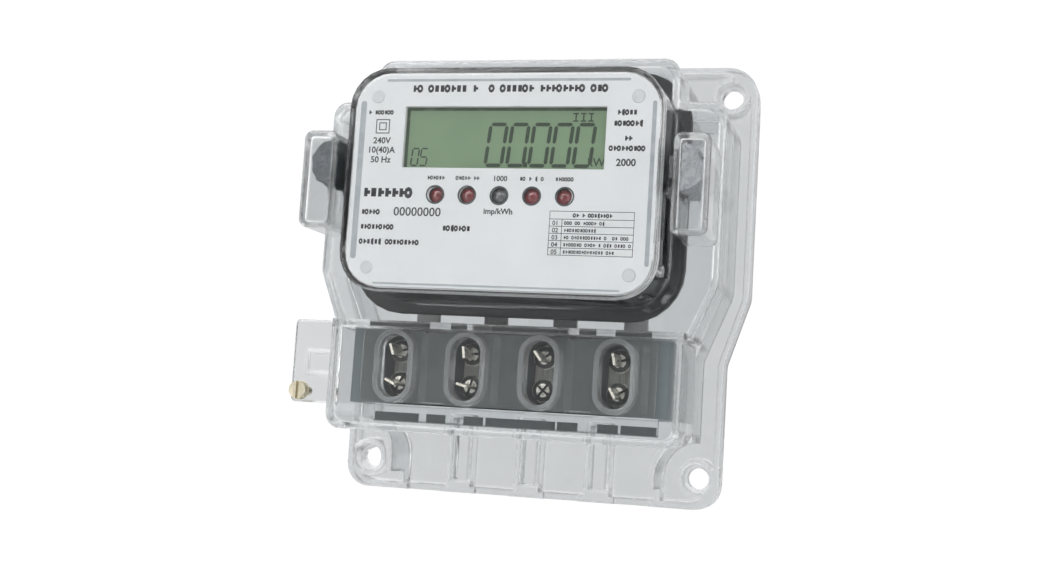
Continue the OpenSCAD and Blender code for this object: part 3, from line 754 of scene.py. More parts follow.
def print_tree() -> Tree:
    """Builds the tree that prints a line of unreadable type: upright strokes and rings in words.

    Returns:
        The tree.
    """
    pitch_share, wide_share, low_share, gap_share, loop_share = 0.62, 0.46, 0.72, 0.14, 0.26
    ink = 0.00003
    filled = 0.87
    tree = Tree("print_line", {"Length": "NodeSocketFloat", "Height": "NodeSocketFloat",
                               "Weight": "NodeSocketFloat", "Seed": "NodeSocketInt",
                               "Material": "NodeSocketMaterial"})
    size = tree.input.outputs
    height = size["Height"]
    pitch = tree.times(height, pitch_share)
    count = tree.node("ShaderNodeMath", {0: size["Length"], 1: pitch}, operation="DIVIDE")
    line = tree.node("GeometryNodeMeshLine", {"Count": count.outputs[0], "Offset": tree.vector(X=pitch)})
    thin, wide = tree.times(height, size["Weight"]), tree.times(height, wide_share)
    low, gap = tree.times(height, low_share), tree.vector(X=tree.times(height, gap_share))
    glyphs = []
    for across, up in ((thin, height), (thin, low), (wide, thin)):
        post = tree.moved(tree.cube(X=thin, Y=ink, Z=low))
        arm = tree.moved(tree.cube(X=across, Y=ink, Z=up), Translation=gap)
        glyphs.append(tree.held(tree.joined([post, arm])))
    circle = "GeometryNodeCurvePrimitiveCircle"
    loop = tree.node(circle, {"Resolution": 8, "Radius": tree.times(height, loop_share)})
    section = tree.node(circle, {"Resolution": 4, "Radius": tree.times(thin, 0.5)})
    tube = tree.node("GeometryNodeCurveToMesh", {"Curve": loop.outputs["Curve"],
                                                 "Profile Curve": section.outputs["Curve"]})
    letter_o = tree.moved(tube.outputs["Mesh"], Rotation=(math.pi / 2, 0.0, 0.0), Scale=(0.9, 1.2, 0.3))
    glyphs += [tree.held(letter_o), tree.held(letter_o)]
    keep = tree.node("FunctionNodeRandomValue", {"Probability": filled, "Seed": size["Seed"]},
                     data_type="BOOLEAN")
    pick = tree.node("FunctionNodeRandomValue", {"Seed": size["Seed"], 4: 0, 5: len(glyphs) - 1},
                     data_type="INT")
    words = tree.node("GeometryNodeInstanceOnPoints", {
        "Points": line.outputs["Mesh"], "Selection": keep.outputs[3], "Instance": tree.joined(glyphs),
        "Pick Instance": True, "Instance Index": pick.outputs[2]})
    tree.finish(words.outputs["Instances"])
    return tree


def screw_tree() -> Tree:
    """Builds the tree that makes a screw: a domed head with a slot and a cross, and a shank.

    Returns:
        The tree.
    """
    dome_share, slot_share, reach = 2.0, 0.9, 3.0
    tree = Tree("domed_screw", {"Head Radius": "NodeSocketFloat", "Head Height": "NodeSocketFloat",
                                "Shank Radius": "NodeSocketFloat", "Shank Length": "NodeSocketFloat",
                                "Slot Width": "NodeSocketFloat", "Cross Reach": "NodeSocketFloat",
                                "Turn": "NodeSocketFloat", "Material": "NodeSocketMaterial"})
    size = tree.input.outputs
    radius, height, width = size["Head Radius"], size["Head Height"], size["Slot Width"]
    disc = tree.node("GeometryNodeMeshCylinder", {"Vertices": 48, "Side Segments": 1, "Radius": radius,
                                                  "Depth": height})
    ball_radius = tree.times(radius, dome_share)
    ball = tree.node("GeometryNodeMeshUVSphere", {"Segments": 48, "Rings": 32, "Radius": ball_radius})
    half = tree.times(height, 0.5)
    drop = tree.node("ShaderNodeMath", {0: half, 1: ball_radius}, operation="SUBTRACT").outputs[0]
    dome = tree.moved(ball.outputs["Mesh"], Translation=tree.vector(Z=drop))
    head = tree.solid("INTERSECT", disc.outputs["Mesh"], dome)
    shank = tree.node("GeometryNodeMeshCylinder", {"Vertices": 40, "Radius": size["Shank Radius"],
                                                   "Depth": size["Shank Length"]})
    sunk = tree.vector(Z=tree.times(size["Shank Length"], -0.5))
    body = tree.solid("UNION", head, tree.moved(shank.outputs["Mesh"], Translation=sunk))
    across = tree.times(radius, reach)
    slot = tree.cube(X=across, Y=width, Z=tree.times(height, slot_share))
    blades = [tree.moved(slot, Translation=tree.vector(Z=half))]
    arm = tree.cube(X=size["Cross Reach"], Y=width, Z=across)
    lift = tree.vector(Z=tree.times(across, 0.5))
    blades += [tree.moved(arm, Translation=lift, Rotation=(0.0, 0.0, angle)) for angle in (0.0, math.pi / 2)]
    for blade in blades:
        body = tree.solid("DIFFERENCE", body, blade)
    tree.finish(tree.moved(body, Rotation=tree.vector(Z=size["Turn"])))
    return tree


def stand_up(piece: bpy.types.Object, x: float, y: float, z: float) -> bpy.types.Object:
    """Turns a part made along +Z to face the front, and sets it in place.

    Args:
        piece: The part.
        x: Its place across in millimetres.
        y: Its depth.
        z: Its height.

    Returns:
        The part.
    """
    piece.data.transform(Matrix.Translation((x * MM, y * MM, z * MM)) @ Matrix.Rotation(math.pi / 2, 4, "X"))
    return piece


# ---- Casing -----------------------------------------------------------------------


@dataclass
class Casing:
    """The clear mouldings: base, main cover, terminal cover, shield and seal caps."""

    edge: float = 0.7
    edge_steps: int = 3
    collar_depth: float = 4.4
    mask_depth: float = 0.8
    upright: float = 0.2
    plate_low: list[float] = field(default_factory=lambda: box_mm("nameplate")[0])
    plate_high: list[float] = field(default_factory=lambda: box_mm("nameplate")[1])

    def build(self) -> None:
        """Builds every clear piece."""
        own = {"base": CLEAR_BASE, "terminal_shield": HAZY}
        moving = ("terminal_cover", "seal_cap_left", "seal_cap_right")
        pieces = {}
        for node in ("base", "main_cover", "terminal_cover", "terminal_shield",
                     "seal_cap_left", "seal_cap_right"):
            pieces[node] = settle(softened(node, node, self.edge, self.edge_steps), node + "_moulding",
                                  own.get(node, CLEAR), "clear_polycarbonate",
                                  node if node in moving else ROOT, [node])
        self.frost(pieces["terminal_shield"])
        self.mask(pieces["main_cover"])

    def mask(self, cover: bpy.types.Object) -> None:
        """Prints a white mask on the inner side of the window's rim, down to the nameplate.

        Args:
            cover: The main cover.
        """
        depth = (self.plate_high[1] + self.mask_depth) * MM
        bm = bmesh.new()
        bm.from_mesh(cover.data)
        bmesh.ops.bisect_plane(bm, geom=[*bm.verts, *bm.edges, *bm.faces], plane_co=(0, depth, 0),
                               plane_no=(0, 1, 0))
        bm.to_mesh(cover.data)
        bm.free()
        cover.data.materials.append(PLATE_WHITE.material())
        middle = Vector((0, 0, (self.plate_low[2] + self.plate_high[2]) / 2 * MM))
        for face in cover.data.polygons:
            inward = Vector((-face.center.x, 0, middle.z - face.center.z))
            upright = abs(face.normal.y) < self.upright
            if face.center.y < depth and upright and face.normal.dot(inward) > 0:
                face.material_index = 1

    def frost(self, shield: bpy.types.Object) -> None:
        """Gives the collars that stand proud of the shield a frosted face.

        Args:
            shield: The terminal shield.
        """
        shield.data.materials.append(FROSTED.material())
        collar_y = (box_mm("terminal_shield")[0][1] + self.collar_depth) * MM
        for face in shield.data.polygons:
            if face.center.y < collar_y:
                face.material_index = 1


# ---- Nameplate, display and lamps ------------------------------------------------


@dataclass(frozen=True)
class Strokes:
    """A line of unreadable strokes.

    Args:
        x: Where it starts, in millimetres.
        z: Middle of its height.
        length: Its length.
        height: Height of the strokes.
        seed: Seed of the choice of strokes.
        weight: Width of a stroke as a share of its height.
    """

    x: float
    z: float
    length: float
    height: float
    seed: int
    weight: float = 0.27


@dataclass(frozen=True)
class Wording:
    """Printed digits or a unit.

    Args:
        wording: What it says.
        x: Middle across, in millimetres.
        z: Middle of its height.
        height: Height of a digit.
        weight: How much bolder it is than the plain face.
    """

    wording: str
    x: float
    z: float
    height: float
    weight: float = 0.0


@dataclass
class Nameplate:
    """The printed plate behind the window, with its pins.

    The printing holds only digits, units and unreadable strokes.
    """

    title: Strokes = Strokes(x=-32.5, z=53.1, length=65.0, height=2.9, seed=3)
    big_word: Strokes = Strokes(x=-44.8, z=19.9, length=16.5, height=3.8, seed=21, weight=0.3)
    left_words: tuple[Strokes, ...] = (
        Strokes(x=-44.8, z=45.5, length=10.5, height=1.7, seed=5),
        Strokes(x=-44.8, z=13.7, length=9.6, height=2.0, seed=31),
        Strokes(x=-44.8, z=9.0, length=11.4, height=2.0, seed=33),
        Strokes(x=-44.8, z=4.3, length=21.0, height=2.0, seed=35),
        Strokes(x=-17.7, z=9.0, length=9.3, height=2.1, seed=39))
    right_words: tuple[Strokes, ...] = (
        Strokes(x=35.4, z=45.6, length=7.4, height=2.0, seed=9),
        Strokes(x=34.5, z=42.2, length=9.2, height=2.1, seed=12),
        Strokes(x=36.8, z=37.6, length=4.8, height=2.0, seed=15),
        Strokes(x=33.5, z=34.5, length=11.2, height=2.0, seed=17))
    figures: tuple[Wording, ...] = (
        Wording("240V", x=-39.6, z=36.5, height=1.9, weight=0.045),
        Wording("10(40)A", x=-39.6, z=33.5, height=1.9, weight=0.045),
        Wording("50 Hz", x=-39.6, z=30.4, height=1.9, weight=0.045),
        Wording("2000", x=39.0, z=30.2, height=2.1, weight=0.06),
        Wording("00000000", x=-26.2, z=14.0, height=2.7, weight=0.02))
    square_x: float = -39.6
    square_z: float = 41.0
    squares: tuple[float, ...] = (4.6, 2.5)
    square_line: float = 0.3
    labels: tuple[float, ...] = (6.0, 8.0, 0.0, 8.4, 6.6)
    label_gap: float = 2.4
    lamp_radius: float = 2.5
    table_left: float = 16.4
    table_right: float = 42.6
    table_top: float = 15.1
    table_header: float = 2.6
    table_row: float = 2.2
    table_column: float = 3.9
    table_line: float = 0.18
    entries: tuple[float, ...] = (13.0, 10.5, 20.5, 21.0, 16.0)
    ink: float = 0.03
    low: list[float] = field(default_factory=lambda: box_mm("nameplate")[0])
    high: list[float] = field(default_factory=lambda: box_mm("nameplate")[1])
    lamp_low: list[float] = field(default_factory=lambda: box_mm("tamper_lamps")[0])
    lamp_high: list[float] = field(default_factory=lambda: box_mm("tamper_lamps")[1])
    pieces: list[bpy.types.Object] = field(default_factory=list)
    tree: Tree | None = None

    def build(self) -> None:
        """Builds the plate, the pins and the printing."""
        self.tree = print_tree()
        settle(softened("nameplate", "nameplate", 0.12), "nameplate_sheet", PLATE_WHITE, "nameplate_white",
               ROOT, ["nameplate"])
        settle(softened("nameplate_pins", "pins", 0.25), "nameplate_pin_heads", PIN_WHITE, "pin_plastic",
               ROOT, ["nameplate_pins"])
        for line in (self.title, self.big_word, *self.left_words, *self.right_words):
            self.words(line)
        for wording in self.figures:
            self.text(wording)
        for side in self.squares:
            self.frame(self.square_x, self.square_z, side, side, self.square_line)
        self.lamp_labels()
        self.table()
        # The grey lines are painted shade of the plate's bevelled rim.
        settle(self.bevel_shade(), "nameplate_bevel_shade", BEVEL_SHADE, "nameplate_white")
        settle(merged("printing", self.pieces), "nameplate_printing", INK, "nameplate_white")

    def words(self, line: Strokes) -> None:
        """Prints a line of unreadable strokes.

        Args:
            line: The line.
        """
        first = line.x + line.height * 0.3
        made = self.tree.make("words", {"Length": line.length * MM, "Height": line.height * MM,
                                        "Weight": line.weight, "Seed": line.seed, "Material": INK.material()})
        made.data.transform(Matrix.Translation((first * MM, (self.low[1] - self.ink / 2) * MM, line.z * MM)))
        self.pieces.append(made)

    def text(self, wording: Wording) -> None:
        """Prints digits or a unit.

        Args:
            wording: What is printed and where.
        """
        self.pieces.append(lettering(wording, self.low[1], self.ink))

    def bar(self, x: float, z: float, width: float, height: float) -> None:
        """Prints a solid bar.

        Args:
            x: Its left end in millimetres.
            z: Its lower edge.
            width: Its width.
            height: Its height.
        """
        y = self.low[1]
        self.pieces.append(slab((x, y - self.ink, z), (x + width, y + self.ink, z + height)))

    def frame(self, x: float, z: float, width: float, height: float, line: float) -> None:
        """Prints the outline of a rectangle.

        Args:
            x: Its middle across in millimetres.
            z: Middle of its height.
            width: Its width.
            height: Its height.
            line: Width of the line.
        """
        for side in (-1, 1):
            self.bar(x + side * (width - line) / 2 - line / 2, z - height / 2, line, height)
            self.bar(x - width / 2, z + side * (height - line) / 2 - line / 2, width, line)

    def bevel_shade(self) -> bpy.types.Object:
        """Makes the painted shade of the plate's bevelled rim: soft grey lines that run just inside the
        plate's edges, wide at the left.

        Returns:
            The lines.
        """
        low, high = self.low, self.high
        corner_x, corner_z, round_share = 9.5, 8.5, 0.49
        middle, tall = (low[2] + high[2]) / 2, high[2] - low[2] - 2 * corner_z
        long = high[0] - low[0] - 2 * corner_x
        lines = ((low[0] + 2.25, middle, 1.9, tall), (high[0] - 1.75, middle, 1.3, tall),
                 (0, high[2] - 1.9, long, 0.8), (0, low[2] + 1.0, long, 0.6))
        strips = []
        for x, z, width, height in lines:
            path = oblong(x, z, width, height, min(width, height) * round_share)
            strips.append(prism(path, low[1] - self.ink, low[1] + self.ink))
        return merged("bevel_shade", strips)

    def lamp_labels(self) -> None:
        """Prints a label above each lamp and the unit under the middle one."""
        first, last = self.lamp_low[0] + self.lamp_radius, self.lamp_high[0] - self.lamp_radius
        z = self.lamp_high[2] + self.label_gap
        for index, length in enumerate(self.labels):
            x = first + index * (last - first) / (len(self.labels) - 1)
            if length:
                self.words(Strokes(x - length / 2, z, length, height=1.55, seed=50 + index, weight=0.24))
            else:
                self.text(Wording("1000", x, z, height=1.6, weight=0.045))
        self.text(Wording("imp/kWh", (first + last) / 2, self.lamp_low[2] - 2.0, height=1.7, weight=0.05))

    def table(self) -> None:
        """Prints the numbered table at the lower right."""
        left, right, top, row = self.table_left, self.table_right, self.table_top, self.table_row
        below = len(self.entries) * row
        height = self.table_header + below
        self.frame((left + right) / 2, top - height / 2, right - left, height, self.table_line)
        self.bar(left + self.table_column, top - height, self.table_line, below)
        self.words(Strokes((left + right) / 2 - 6.8, top - self.table_header / 2, 13.5, height=1.5, seed=60))
        for index, length in enumerate(self.entries):
            z = top - self.table_header - index * row
            self.bar(left, z, right - left, self.table_line)
            self.text(Wording(f"0{index + 1}", left + self.table_column / 2, z - row / 2, 1.35, weight=0.04))
            self.words(Strokes(left + self.table_column + 0.7, z - row / 2, length, height=1.35,
                               seed=70 + index, weight=0.22))


def lettering(wording: Wording, y: float, ink: float) -> bpy.types.Object:
    """Makes standing letters that face the front.

    Args:
        wording: What they say and where they stand.
        y: Place of the surface they lie on, in millimetres.
        ink: How far they stand proud.

    Returns:
        The letters as a mesh.
    """
    cap_share = 0.69
    curve = bpy.data.curves.new("letters", "FONT")
    curve.body = wording.wording
    curve.size = wording.height / cap_share * MM
    curve.align_x = "CENTER"
    curve.extrude = ink * MM
    curve.offset = wording.weight * curve.size * 0.5
    curve.resolution_u = 3
    source = bpy.data.objects.new("letters", curve)
    bpy.context.scene.collection.objects.link(source)
    bpy.context.view_layer.update()
    mesh = bpy.data.meshes.new_from_object(source)
    bpy.data.objects.remove(source)
    bpy.data.curves.remove(curve)
    foot = Vector((wording.x, y, wording.z - wording.height / 2)) * MM
    mesh.transform(Matrix.Translation(foot) @ Matrix.Rotation(math.pi / 2, 4, "X"))
    return mesh_object("letters", mesh)


def merged(name: str, pieces: Sequence[bpy.types.Object]) -> bpy.types.Object:
    """Joins separate pieces into one mesh.

    Args:
        name: Name of the result.
        pieces: The pieces, which are used up.

    Returns:
        The joined piece.
    """
    bm = bmesh.new()
    for piece in pieces:
        bm.from_mesh(piece.data)
        mesh = piece.data
        bpy.data.objects.remove(piece)
        bpy.data.meshes.remove(mesh)
    bmesh.ops.remove_doubles(bm, verts=bm.verts, dist=TINY / 5)
    return from_bmesh(name, bm)


SEGMENTS = {"0": "abcdef", "1": "bc", "2": "abged", "5": "afgcd"}


@dataclass(frozen=True)
class Run:
    """A run of seven-segment figures.

    Args:
        wording: The figures.
        right: Where it ends, in millimetres.
        low: Its lower edge.
        height: Height of a figure.
        pitch: From one figure to the next.
        stroke: Width of a segment.
    """

    wording: str
    right: float
    low: float
    height: float
    pitch: float
    stroke: float


@dataclass
class Display:
    """The liquid crystal display with its figures."""

    reading: Run = Run("00.000", right=27.4, low=29.3, height=12.9, pitch=7.0, stroke=1.15)
    page: Run = Run("05", right=-25.2, low=29.0, height=5.4, pitch=2.9, stroke=0.5)
    unit: Wording = Wording("kW", x=29.4, z=30.6, height=2.5, weight=0.03)
    lift: float = 0.03
    lean: float = 0.09
    figure_share: float = 0.74
    upright_trim: float = 0.3
    level_trim: float = 0.075
    marks: int = 3
    mark_x: float = 21.4
    mark_z: float = 43.1
    mark_pitch: float = 2.4
    mark_tall: float = 2.3
    mark_wide: float = 1.7
    mark_line: float = 0.45
    stem_in: float = 0.7
    stem_tall: float = 2.6
    open_half: float = 32.3
    open_low: float = 28.0
    open_high: float = 47.4
    shade_wide: float = 1.3
    shade_under: float = 0.4
    low: list[float] = field(default_factory=lambda: box_mm("lcd_panel")[0])
    pieces: list[bpy.types.Object] = field(default_factory=list)

    def build(self) -> None:
        """Builds the glass, the bezel, the figures and the painted shadow at the opening's top and left."""
        settle(softened("lcd_panel", "panel", 0.15), "lcd_glass", LCD_GREEN, "lcd_glass", ROOT, ["lcd_panel"])
        settle(softened("lcd_frame", "frame", 0.3), "lcd_bezel", WARM_WHITE, "white_plastic", ROOT,
               ["lcd_frame"])
        self.run(self.reading)
        self.run(self.page)
        self.pieces.append(lettering(self.unit, self.low[1], self.lift))
        for index in range(self.marks):
            x = self.mark_x + index * self.mark_pitch
            self.plate(x, self.mark_z, self.mark_wide, self.mark_line)
            self.plate(x, self.mark_z + self.mark_tall, self.mark_wide, self.mark_line)
            self.plate(x + self.stem_in, self.mark_z, self.mark_line, self.stem_tall)
        settle(merged("figures", self.pieces), "lcd_figures", LCD_INK, "lcd_glass")
        settle(self.shade(), "lcd_shaded_border", LCD_SHADE, "lcd_glass")

    def plate(self, x: float, z: float, width: float, height: float) -> None:
        """Adds a flat bar on the glass.

        Args:
            x: Its left end in millimetres.
            z: Its lower edge.
            width: Its width.
            height: Its height.
        """
        y = self.low[1]
        self.pieces.append(slab((x, y - self.lift, z), (x + width, y + self.lift, z + height)))

    def run(self, run: Run) -> None:
        """Adds a run of figures.

        Args:
            run: The figures and their place.
        """
        count = sum(letter != "." for letter in run.wording)
        width = run.pitch * self.figure_share
        gap = run.pitch - width
        x = run.right - run.pitch * count + gap
        for letter in run.wording:
            if letter == ".":
                dot = run.stroke * 1.3
                self.plate(x - gap / 2 - run.stroke * 0.9, run.low - run.stroke * 0.4, dot, dot)
                continue
            self.figure(letter, x, width, run)
            x += run.pitch

    def figure(self, letter: str, x: float, width: float, run: Run) -> None:
        """Adds one figure from its lit segments, each pointed at both ends.

        Args:
            letter: The figure.
            x: Its left end in millimetres.
            width: Its width.
            run: The run that it stands in.
        """
        height, half, thick, z = run.height, run.height / 2, run.stroke, run.low
        ends = {"a": ((0, height), (width, height)), "b": ((width, height), (width, half)),
                "c": ((width, half), (width, 0)), "d": ((0, 0), (width, 0)), "e": ((0, half), (0, 0)),
                "f": ((0, height), (0, half)), "g": ((0, half), (width, half))}
        for lit in SEGMENTS[letter]:
            start, end = (Vector((x + across, z + up)) for across, up in ends[lit])
            along = (end - start).normalized()
            trim = along * thick * (self.upright_trim if along.x == 0 else self.level_trim)
            start, end = start + trim, end - trim
            side = Vector((-along.y, along.x)) * thick / 2
            shift = along * thick / 2
            path = [start, start + shift - side, end - shift - side, end, end - shift + side,
                    start + shift + side]
            points = [(p.x + self.lean * (p.y - z), p.y) for p in path]
            self.pieces.append(prism(points, self.low[1] - self.lift, self.low[1] + self.lift))

    def shade(self) -> bpy.types.Object:
        """Makes the painted shadow that the opening's edge casts on the glass: a dark strip that runs along
        the top and the left of the opening.

        Returns:
            The strip.
        """
        wide = self.shade_wide
        left, right = -self.open_half - self.shade_under, self.open_half
        low, high = self.open_low, self.open_high + self.shade_under
        path = [(left, low), (left + wide, low), (left + wide, high - wide), (right, high - wide),
                (right, high), (left, high)]
        return prism(path, self.low[1] - self.lift, self.low[1] + self.lift)


@dataclass
class Lamps:
    """The five indicator lamps with dark rings of painted shade round their holes."""

    count: int = 5
    radius: float = 2.5
    shadow_width: float = 0.55
    shadow_out: float = 0.25
    flat: float = 0.35
    low: list[float] = field(default_factory=lambda: box_mm("tamper_lamps")[0])
    high: list[float] = field(default_factory=lambda: box_mm("tamper_lamps")[1])
    plate_y: float = field(default_factory=lambda: box_mm("nameplate")[0][1])

    def build(self) -> None:
        """Builds the lamps and the rings round them."""
        settle(softened("tamper_lamps", "red", 0.2), "red_lamps", RED_LENS, "red_lamp", ROOT,
               ["tamper_lamps"])
        settle(softened("pulse_lamp", "clear", 0.2), "pulse_lamp_lens", CLEAR_LENS, "clear_lamp", ROOT,
               ["pulse_lamp"])
        tree = Tree("ring_row", {"Count": "NodeSocketInt", "Gap": "NodeSocketFloat",
                                 "Radius": "NodeSocketFloat", "Thickness": "NodeSocketFloat",
                                 "Material": "NodeSocketMaterial"})
        size = tree.input.outputs
        step = tree.vector(X=size["Gap"])
        line = tree.node("GeometryNodeMeshLine", {"Count": size["Count"], "Offset": step})
        kind = "GeometryNodeCurvePrimitiveCircle"
        circle = tree.node(kind, {"Resolution": 48, "Radius": size["Radius"]})
        section = tree.node(kind, {"Resolution": 10, "Radius": size["Thickness"]})
        tube = tree.node("GeometryNodeCurveToMesh", {"Curve": circle.outputs["Curve"],
                                                     "Profile Curve": section.outputs["Curve"]})
        up = tree.moved(tube.outputs["Mesh"], Rotation=(math.pi / 2, 0.0, 0.0), Scale=(1.0, 1.0, self.flat))
        rings = tree.node("GeometryNodeInstanceOnPoints", {"Points": line.outputs["Mesh"], "Instance": up})
        tree.finish(rings.outputs["Instances"])
        first, last = self.low[0] + self.radius, self.high[0] - self.radius
        # Dark rings on the plate at the rim of each lamp's hole: painted shade of the recess that the lamp
        # sits in.
        row = tree.make("collars", {"Count": self.count, "Gap": (last - first) / (self.count - 1) * MM,
                                    "Radius": (self.radius + self.shadow_out) * MM,
                                    "Thickness": self.shadow_width / 2 * MM, "Material": CHARCOAL.material()})
        row.data.transform(Matrix.Translation((first * MM, (self.plate_y + 0.02) * MM,
                                               (self.low[2] + self.high[2]) / 2 * MM)))
        settle(smoothed(row, 60), "lamp_hole_shadows", CHARCOAL, "charcoal_plastic")


# ---- Terminals, seals and works ----------------------------------------------------


@dataclass
class Terminals:
    """The terminal block with its sockets, clamp feet and screws."""

    turns: tuple[float, ...] = (20.0, 64.0, 8.0, 75.0, 38.0, 52.0, 12.0, 31.0)
    count: int = 4
    slot: float = 0.75
    cross: float = 3.6
    burr: float = 0.12
    head: float = 2.6
    shank: float = 2.5
    overlap: float = 0.4
    rim_share: float = 0.9

    def build(self) -> None:
        """Builds every terminal."""
        settle(softened("terminal_block", "block", 0.35), "terminal_block_moulding", SLATE, "slate_phenolic",
               ROOT, ["terminal_block"])
        tree = screw_tree()
        for index in range(self.count):
            number = index + 1
            barrel = f"terminal_barrel_{number}"
            settle(softened(barrel, barrel, 0.3), barrel + "_socket", BRIGHT, "plated_brass", ROOT, [barrel])
            for place, level in enumerate(("upper", "lower")):
                foot = f"clamp_foot_{number}_{level}"
                settle(softened(foot, foot, 0.15), foot + "_disc", BRIGHT, "nickel_steel", foot, [foot])
                turn = math.radians(self.turns[2 * index + place])
                self.screw(tree, f"terminal_screw_{number}_{level}", turn)

    def screw(self, tree: Tree, node: str, turn: float) -> None:
        """Builds one screw with a slot and a cross, dark in its recesses, inside its CAD box.

        Args:
            tree: The tree that makes screws.
            node: The screw's node.
            turn: How far its slot is turned, in radians.
        """
        low, high = box_mm(node)
        radius = (high[0] - low[0]) / 2
        x, z = (low[0] + high[0]) / 2, (low[2] + high[2]) / 2
        length = high[1] - low[1] - self.head + self.overlap
        made = tree.make(node, {"Head Radius": radius * MM, "Head Height": self.head * MM,
                                "Shank Radius": self.shank * MM, "Shank Length": length * MM,
                                "Slot Width": self.slot * MM, "Cross Reach": self.cross * MM, "Turn": turn,
                                "Material": NICKEL.material()})
        stand_up(made, x, low[1] + self.head / 2, z)
        bevel = made.modifiers.new("bevel", "BEVEL")
        bevel.width = self.burr * MM
        bevel.segments = 2
        bevel.limit_method = "ANGLE"
        bevel.angle_limit = math.radians(45)
        piece = settle(smoothed(applied(made), 40), node + "_nickel", NICKEL, "nickel_steel", node, [node])
        piece.data.materials.append(RECESS.material())
        centre = Vector((x, z)) * MM
        for face in piece.data.polygons:
            from_axis = (Vector((face.center.x, face.center.z)) - centre).length
            depth = face.center.y - low[1] * MM
            near = from_axis < self.rim_share * radius * MM
            if near and 2 * self.burr * MM < depth < (self.head - self.burr) * MM:
                face.material_index = 1


@dataclass
class ShieldDetails:
    """Painted shadow: dark strips in the slits along the top and bottom of the terminal block, broken by the
    shield's snaps.
    """

    tall: float = 2.7
    deep: float = 0.2
    clearance: float = 0.04
    upper: tuple[tuple[float, float], ...] = ((-46.0, -25.5), (-18.5, -13.0), (-5.0, 17.0), (23.5, 29.0),
                                              (35.0, 46.5))
    lower: tuple[tuple[float, float], ...] = ((-43.0, -28.0), (-25.5, -19.0), (-13.0, -6.5), (-5.7, 17.0),
                                              (17.6, 24.2), (30.4, 37.0), (37.8, 49.0))
    over: float = -0.1
    under: float = 2.6
    lip: float = 0.6
    lip_out: float = 0.5
    band_x: float = 8.6
    band_w: float = 2.6
    band_short: float = 2.5
    band_round: float = 1.2
    low: list[float] = field(default_factory=lambda: box_mm("terminal_block")[0])
    high: list[float] = field(default_factory=lambda: box_mm("terminal_block")[1])

    def build(self) -> None:
        """Builds both rows of painted shadow, the lip that carries the lower one and the bands beside the
        wells.
        """
        top, bottom = self.high[2] + self.over, self.low[2] - self.under - self.tall
        pieces = [self.slit_shadow(start, end, z) for spans, z in ((self.upper, top), (self.lower, bottom))
                  for start, end in spans]
        # The strips are painted shadow: charcoal where the slits above and below the block fall dark.
        settle(merged("slit_shadows", pieces), "block_slit_shadows", CHARCOAL, "charcoal_plastic")
        face = self.low[1] - 0.03
        lip = slab((self.lower[0][0] - self.lip_out, face, bottom - 0.3),
                   (self.lower[-1][1] + self.lip_out, face + self.lip, self.low[2] + 0.4), 0.2)
        settle(lip, "shield_lip", CLEAR, "clear_polycarbonate")
        middle, tall = (self.low[2] + self.high[2]) / 2, self.high[2] - self.low[2] - self.band_short
        bands = []
        for number in range(1, 5):
            low, high = box_mm(f"terminal_barrel_{number}")
            shape = oblong((low[0] + high[0]) / 2 + self.band_x, middle, self.band_w, tall, self.band_round)
            bands.append(prism(shape, self.low[1] - 0.08, self.low[1] - 0.02))
        settle(merged("bands", bands), "shield_bands", FROSTED, "clear_polycarbonate")

    def slit_shadow(self, start: float, end: float, z: float) -> bpy.types.Object:
        """Makes one dark strip of painted shadow in the gap in front of the block's face.

        Args:
            start: Its left end in millimetres.
            end: Its right end.
            z: Its lower edge.

        Returns:
            The stretch.
        """
        face = self.low[1] - self.clearance
        return slab((start, face - self.deep, z), (end, face, z + self.tall), 0.08)


@dataclass
class Seals:
    """The sealing compound under the caps, the seal screw and its washer."""

    cells: float = 0.55
    lump: float = 0.39
    waves: float = 520.0

    def build(self) -> None:
        """Builds both plugs and the seal screw."""
        for side, finish in (("left", SEAL_GREY), ("right", SEAL_PALE)):
            node = f"seal_plug_{side}"
            settle(self.plug(node), node + "_compound", finish, "seal_compound", ROOT, [node])
        for node, edge in (("seal_screw", 0.2), ("seal_washer", 0.1)):
            settle(softened(node, node, edge), node + "_turned", BRASS, "brass", node, [node])

    def plug(self, node: str) -> bpy.types.Object:
        """Makes a lumpy plug inside a CAD node's shape.

        Args:
            node: The node.

        Returns:
            The plug.
        """
        piece = softened(node, node, 0.8)
        remesh = piece.modifiers.new("remesh", "REMESH")
        remesh.mode = "VOXEL"
        remesh.voxel_size = self.cells * MM
        applied(piece)
        for vertex in piece.data.vertices:
            place = vertex.co * self.waves
            crumple = (math.sin(place.x + 1.7 * math.sin(place.z * 0.8)) * math.sin(place.z * 1.3 + place.y)
                       + 0.5 * math.sin(place.x * 2.3 + place.y * 1.9 - place.z * 2.1))
            vertex.co -= vertex.normal * (self.lump * MM * (1.5 + crumple))
        return smoothed(piece, 60)


WORKS = {
    "inner_case": (0.4, CHARCOAL, "charcoal_plastic"), "cover_gasket": (0.5, GASKET, "gasket_rubber"),
    "case_screws": (0.2, NICKEL, "nickel_steel"), "lcd_backlight": (0.3, GUIDE, "light_guide"),
    "lcd_pins": (0.05, CAN, "nickel_steel"), "main_board": (0.15, BOARD, "circuit_board"),
    "board_screws": (0.15, NICKEL, "nickel_steel"), "metering_chip": (0.1, EPOXY, "black_epoxy"),
    "supply_capacitor": (0.8, FILM, "film_capacitor"),
    "smoothing_capacitors": (0.5, SLEEVE, "capacitor_sleeve"),
    "surge_arrester": (0.9, VARISTOR, "varistor_coat"), "backup_battery": (0.4, CAN, "battery_steel"),
    "phase_in_bar": (0.15, TINNED, "tinned_copper"), "phase_out_bar": (0.15, TINNED, "tinned_copper"),
    "neutral_bar": (0.15, TINNED, "tinned_copper"), "current_shunt": (0.15, SHUNT, "shunt_alloy"),
    "current_transformer": (0.5, WINDING, "transformer_coat"), "sense_leads": (0.1, WIRE, "lead_sleeve"),
}


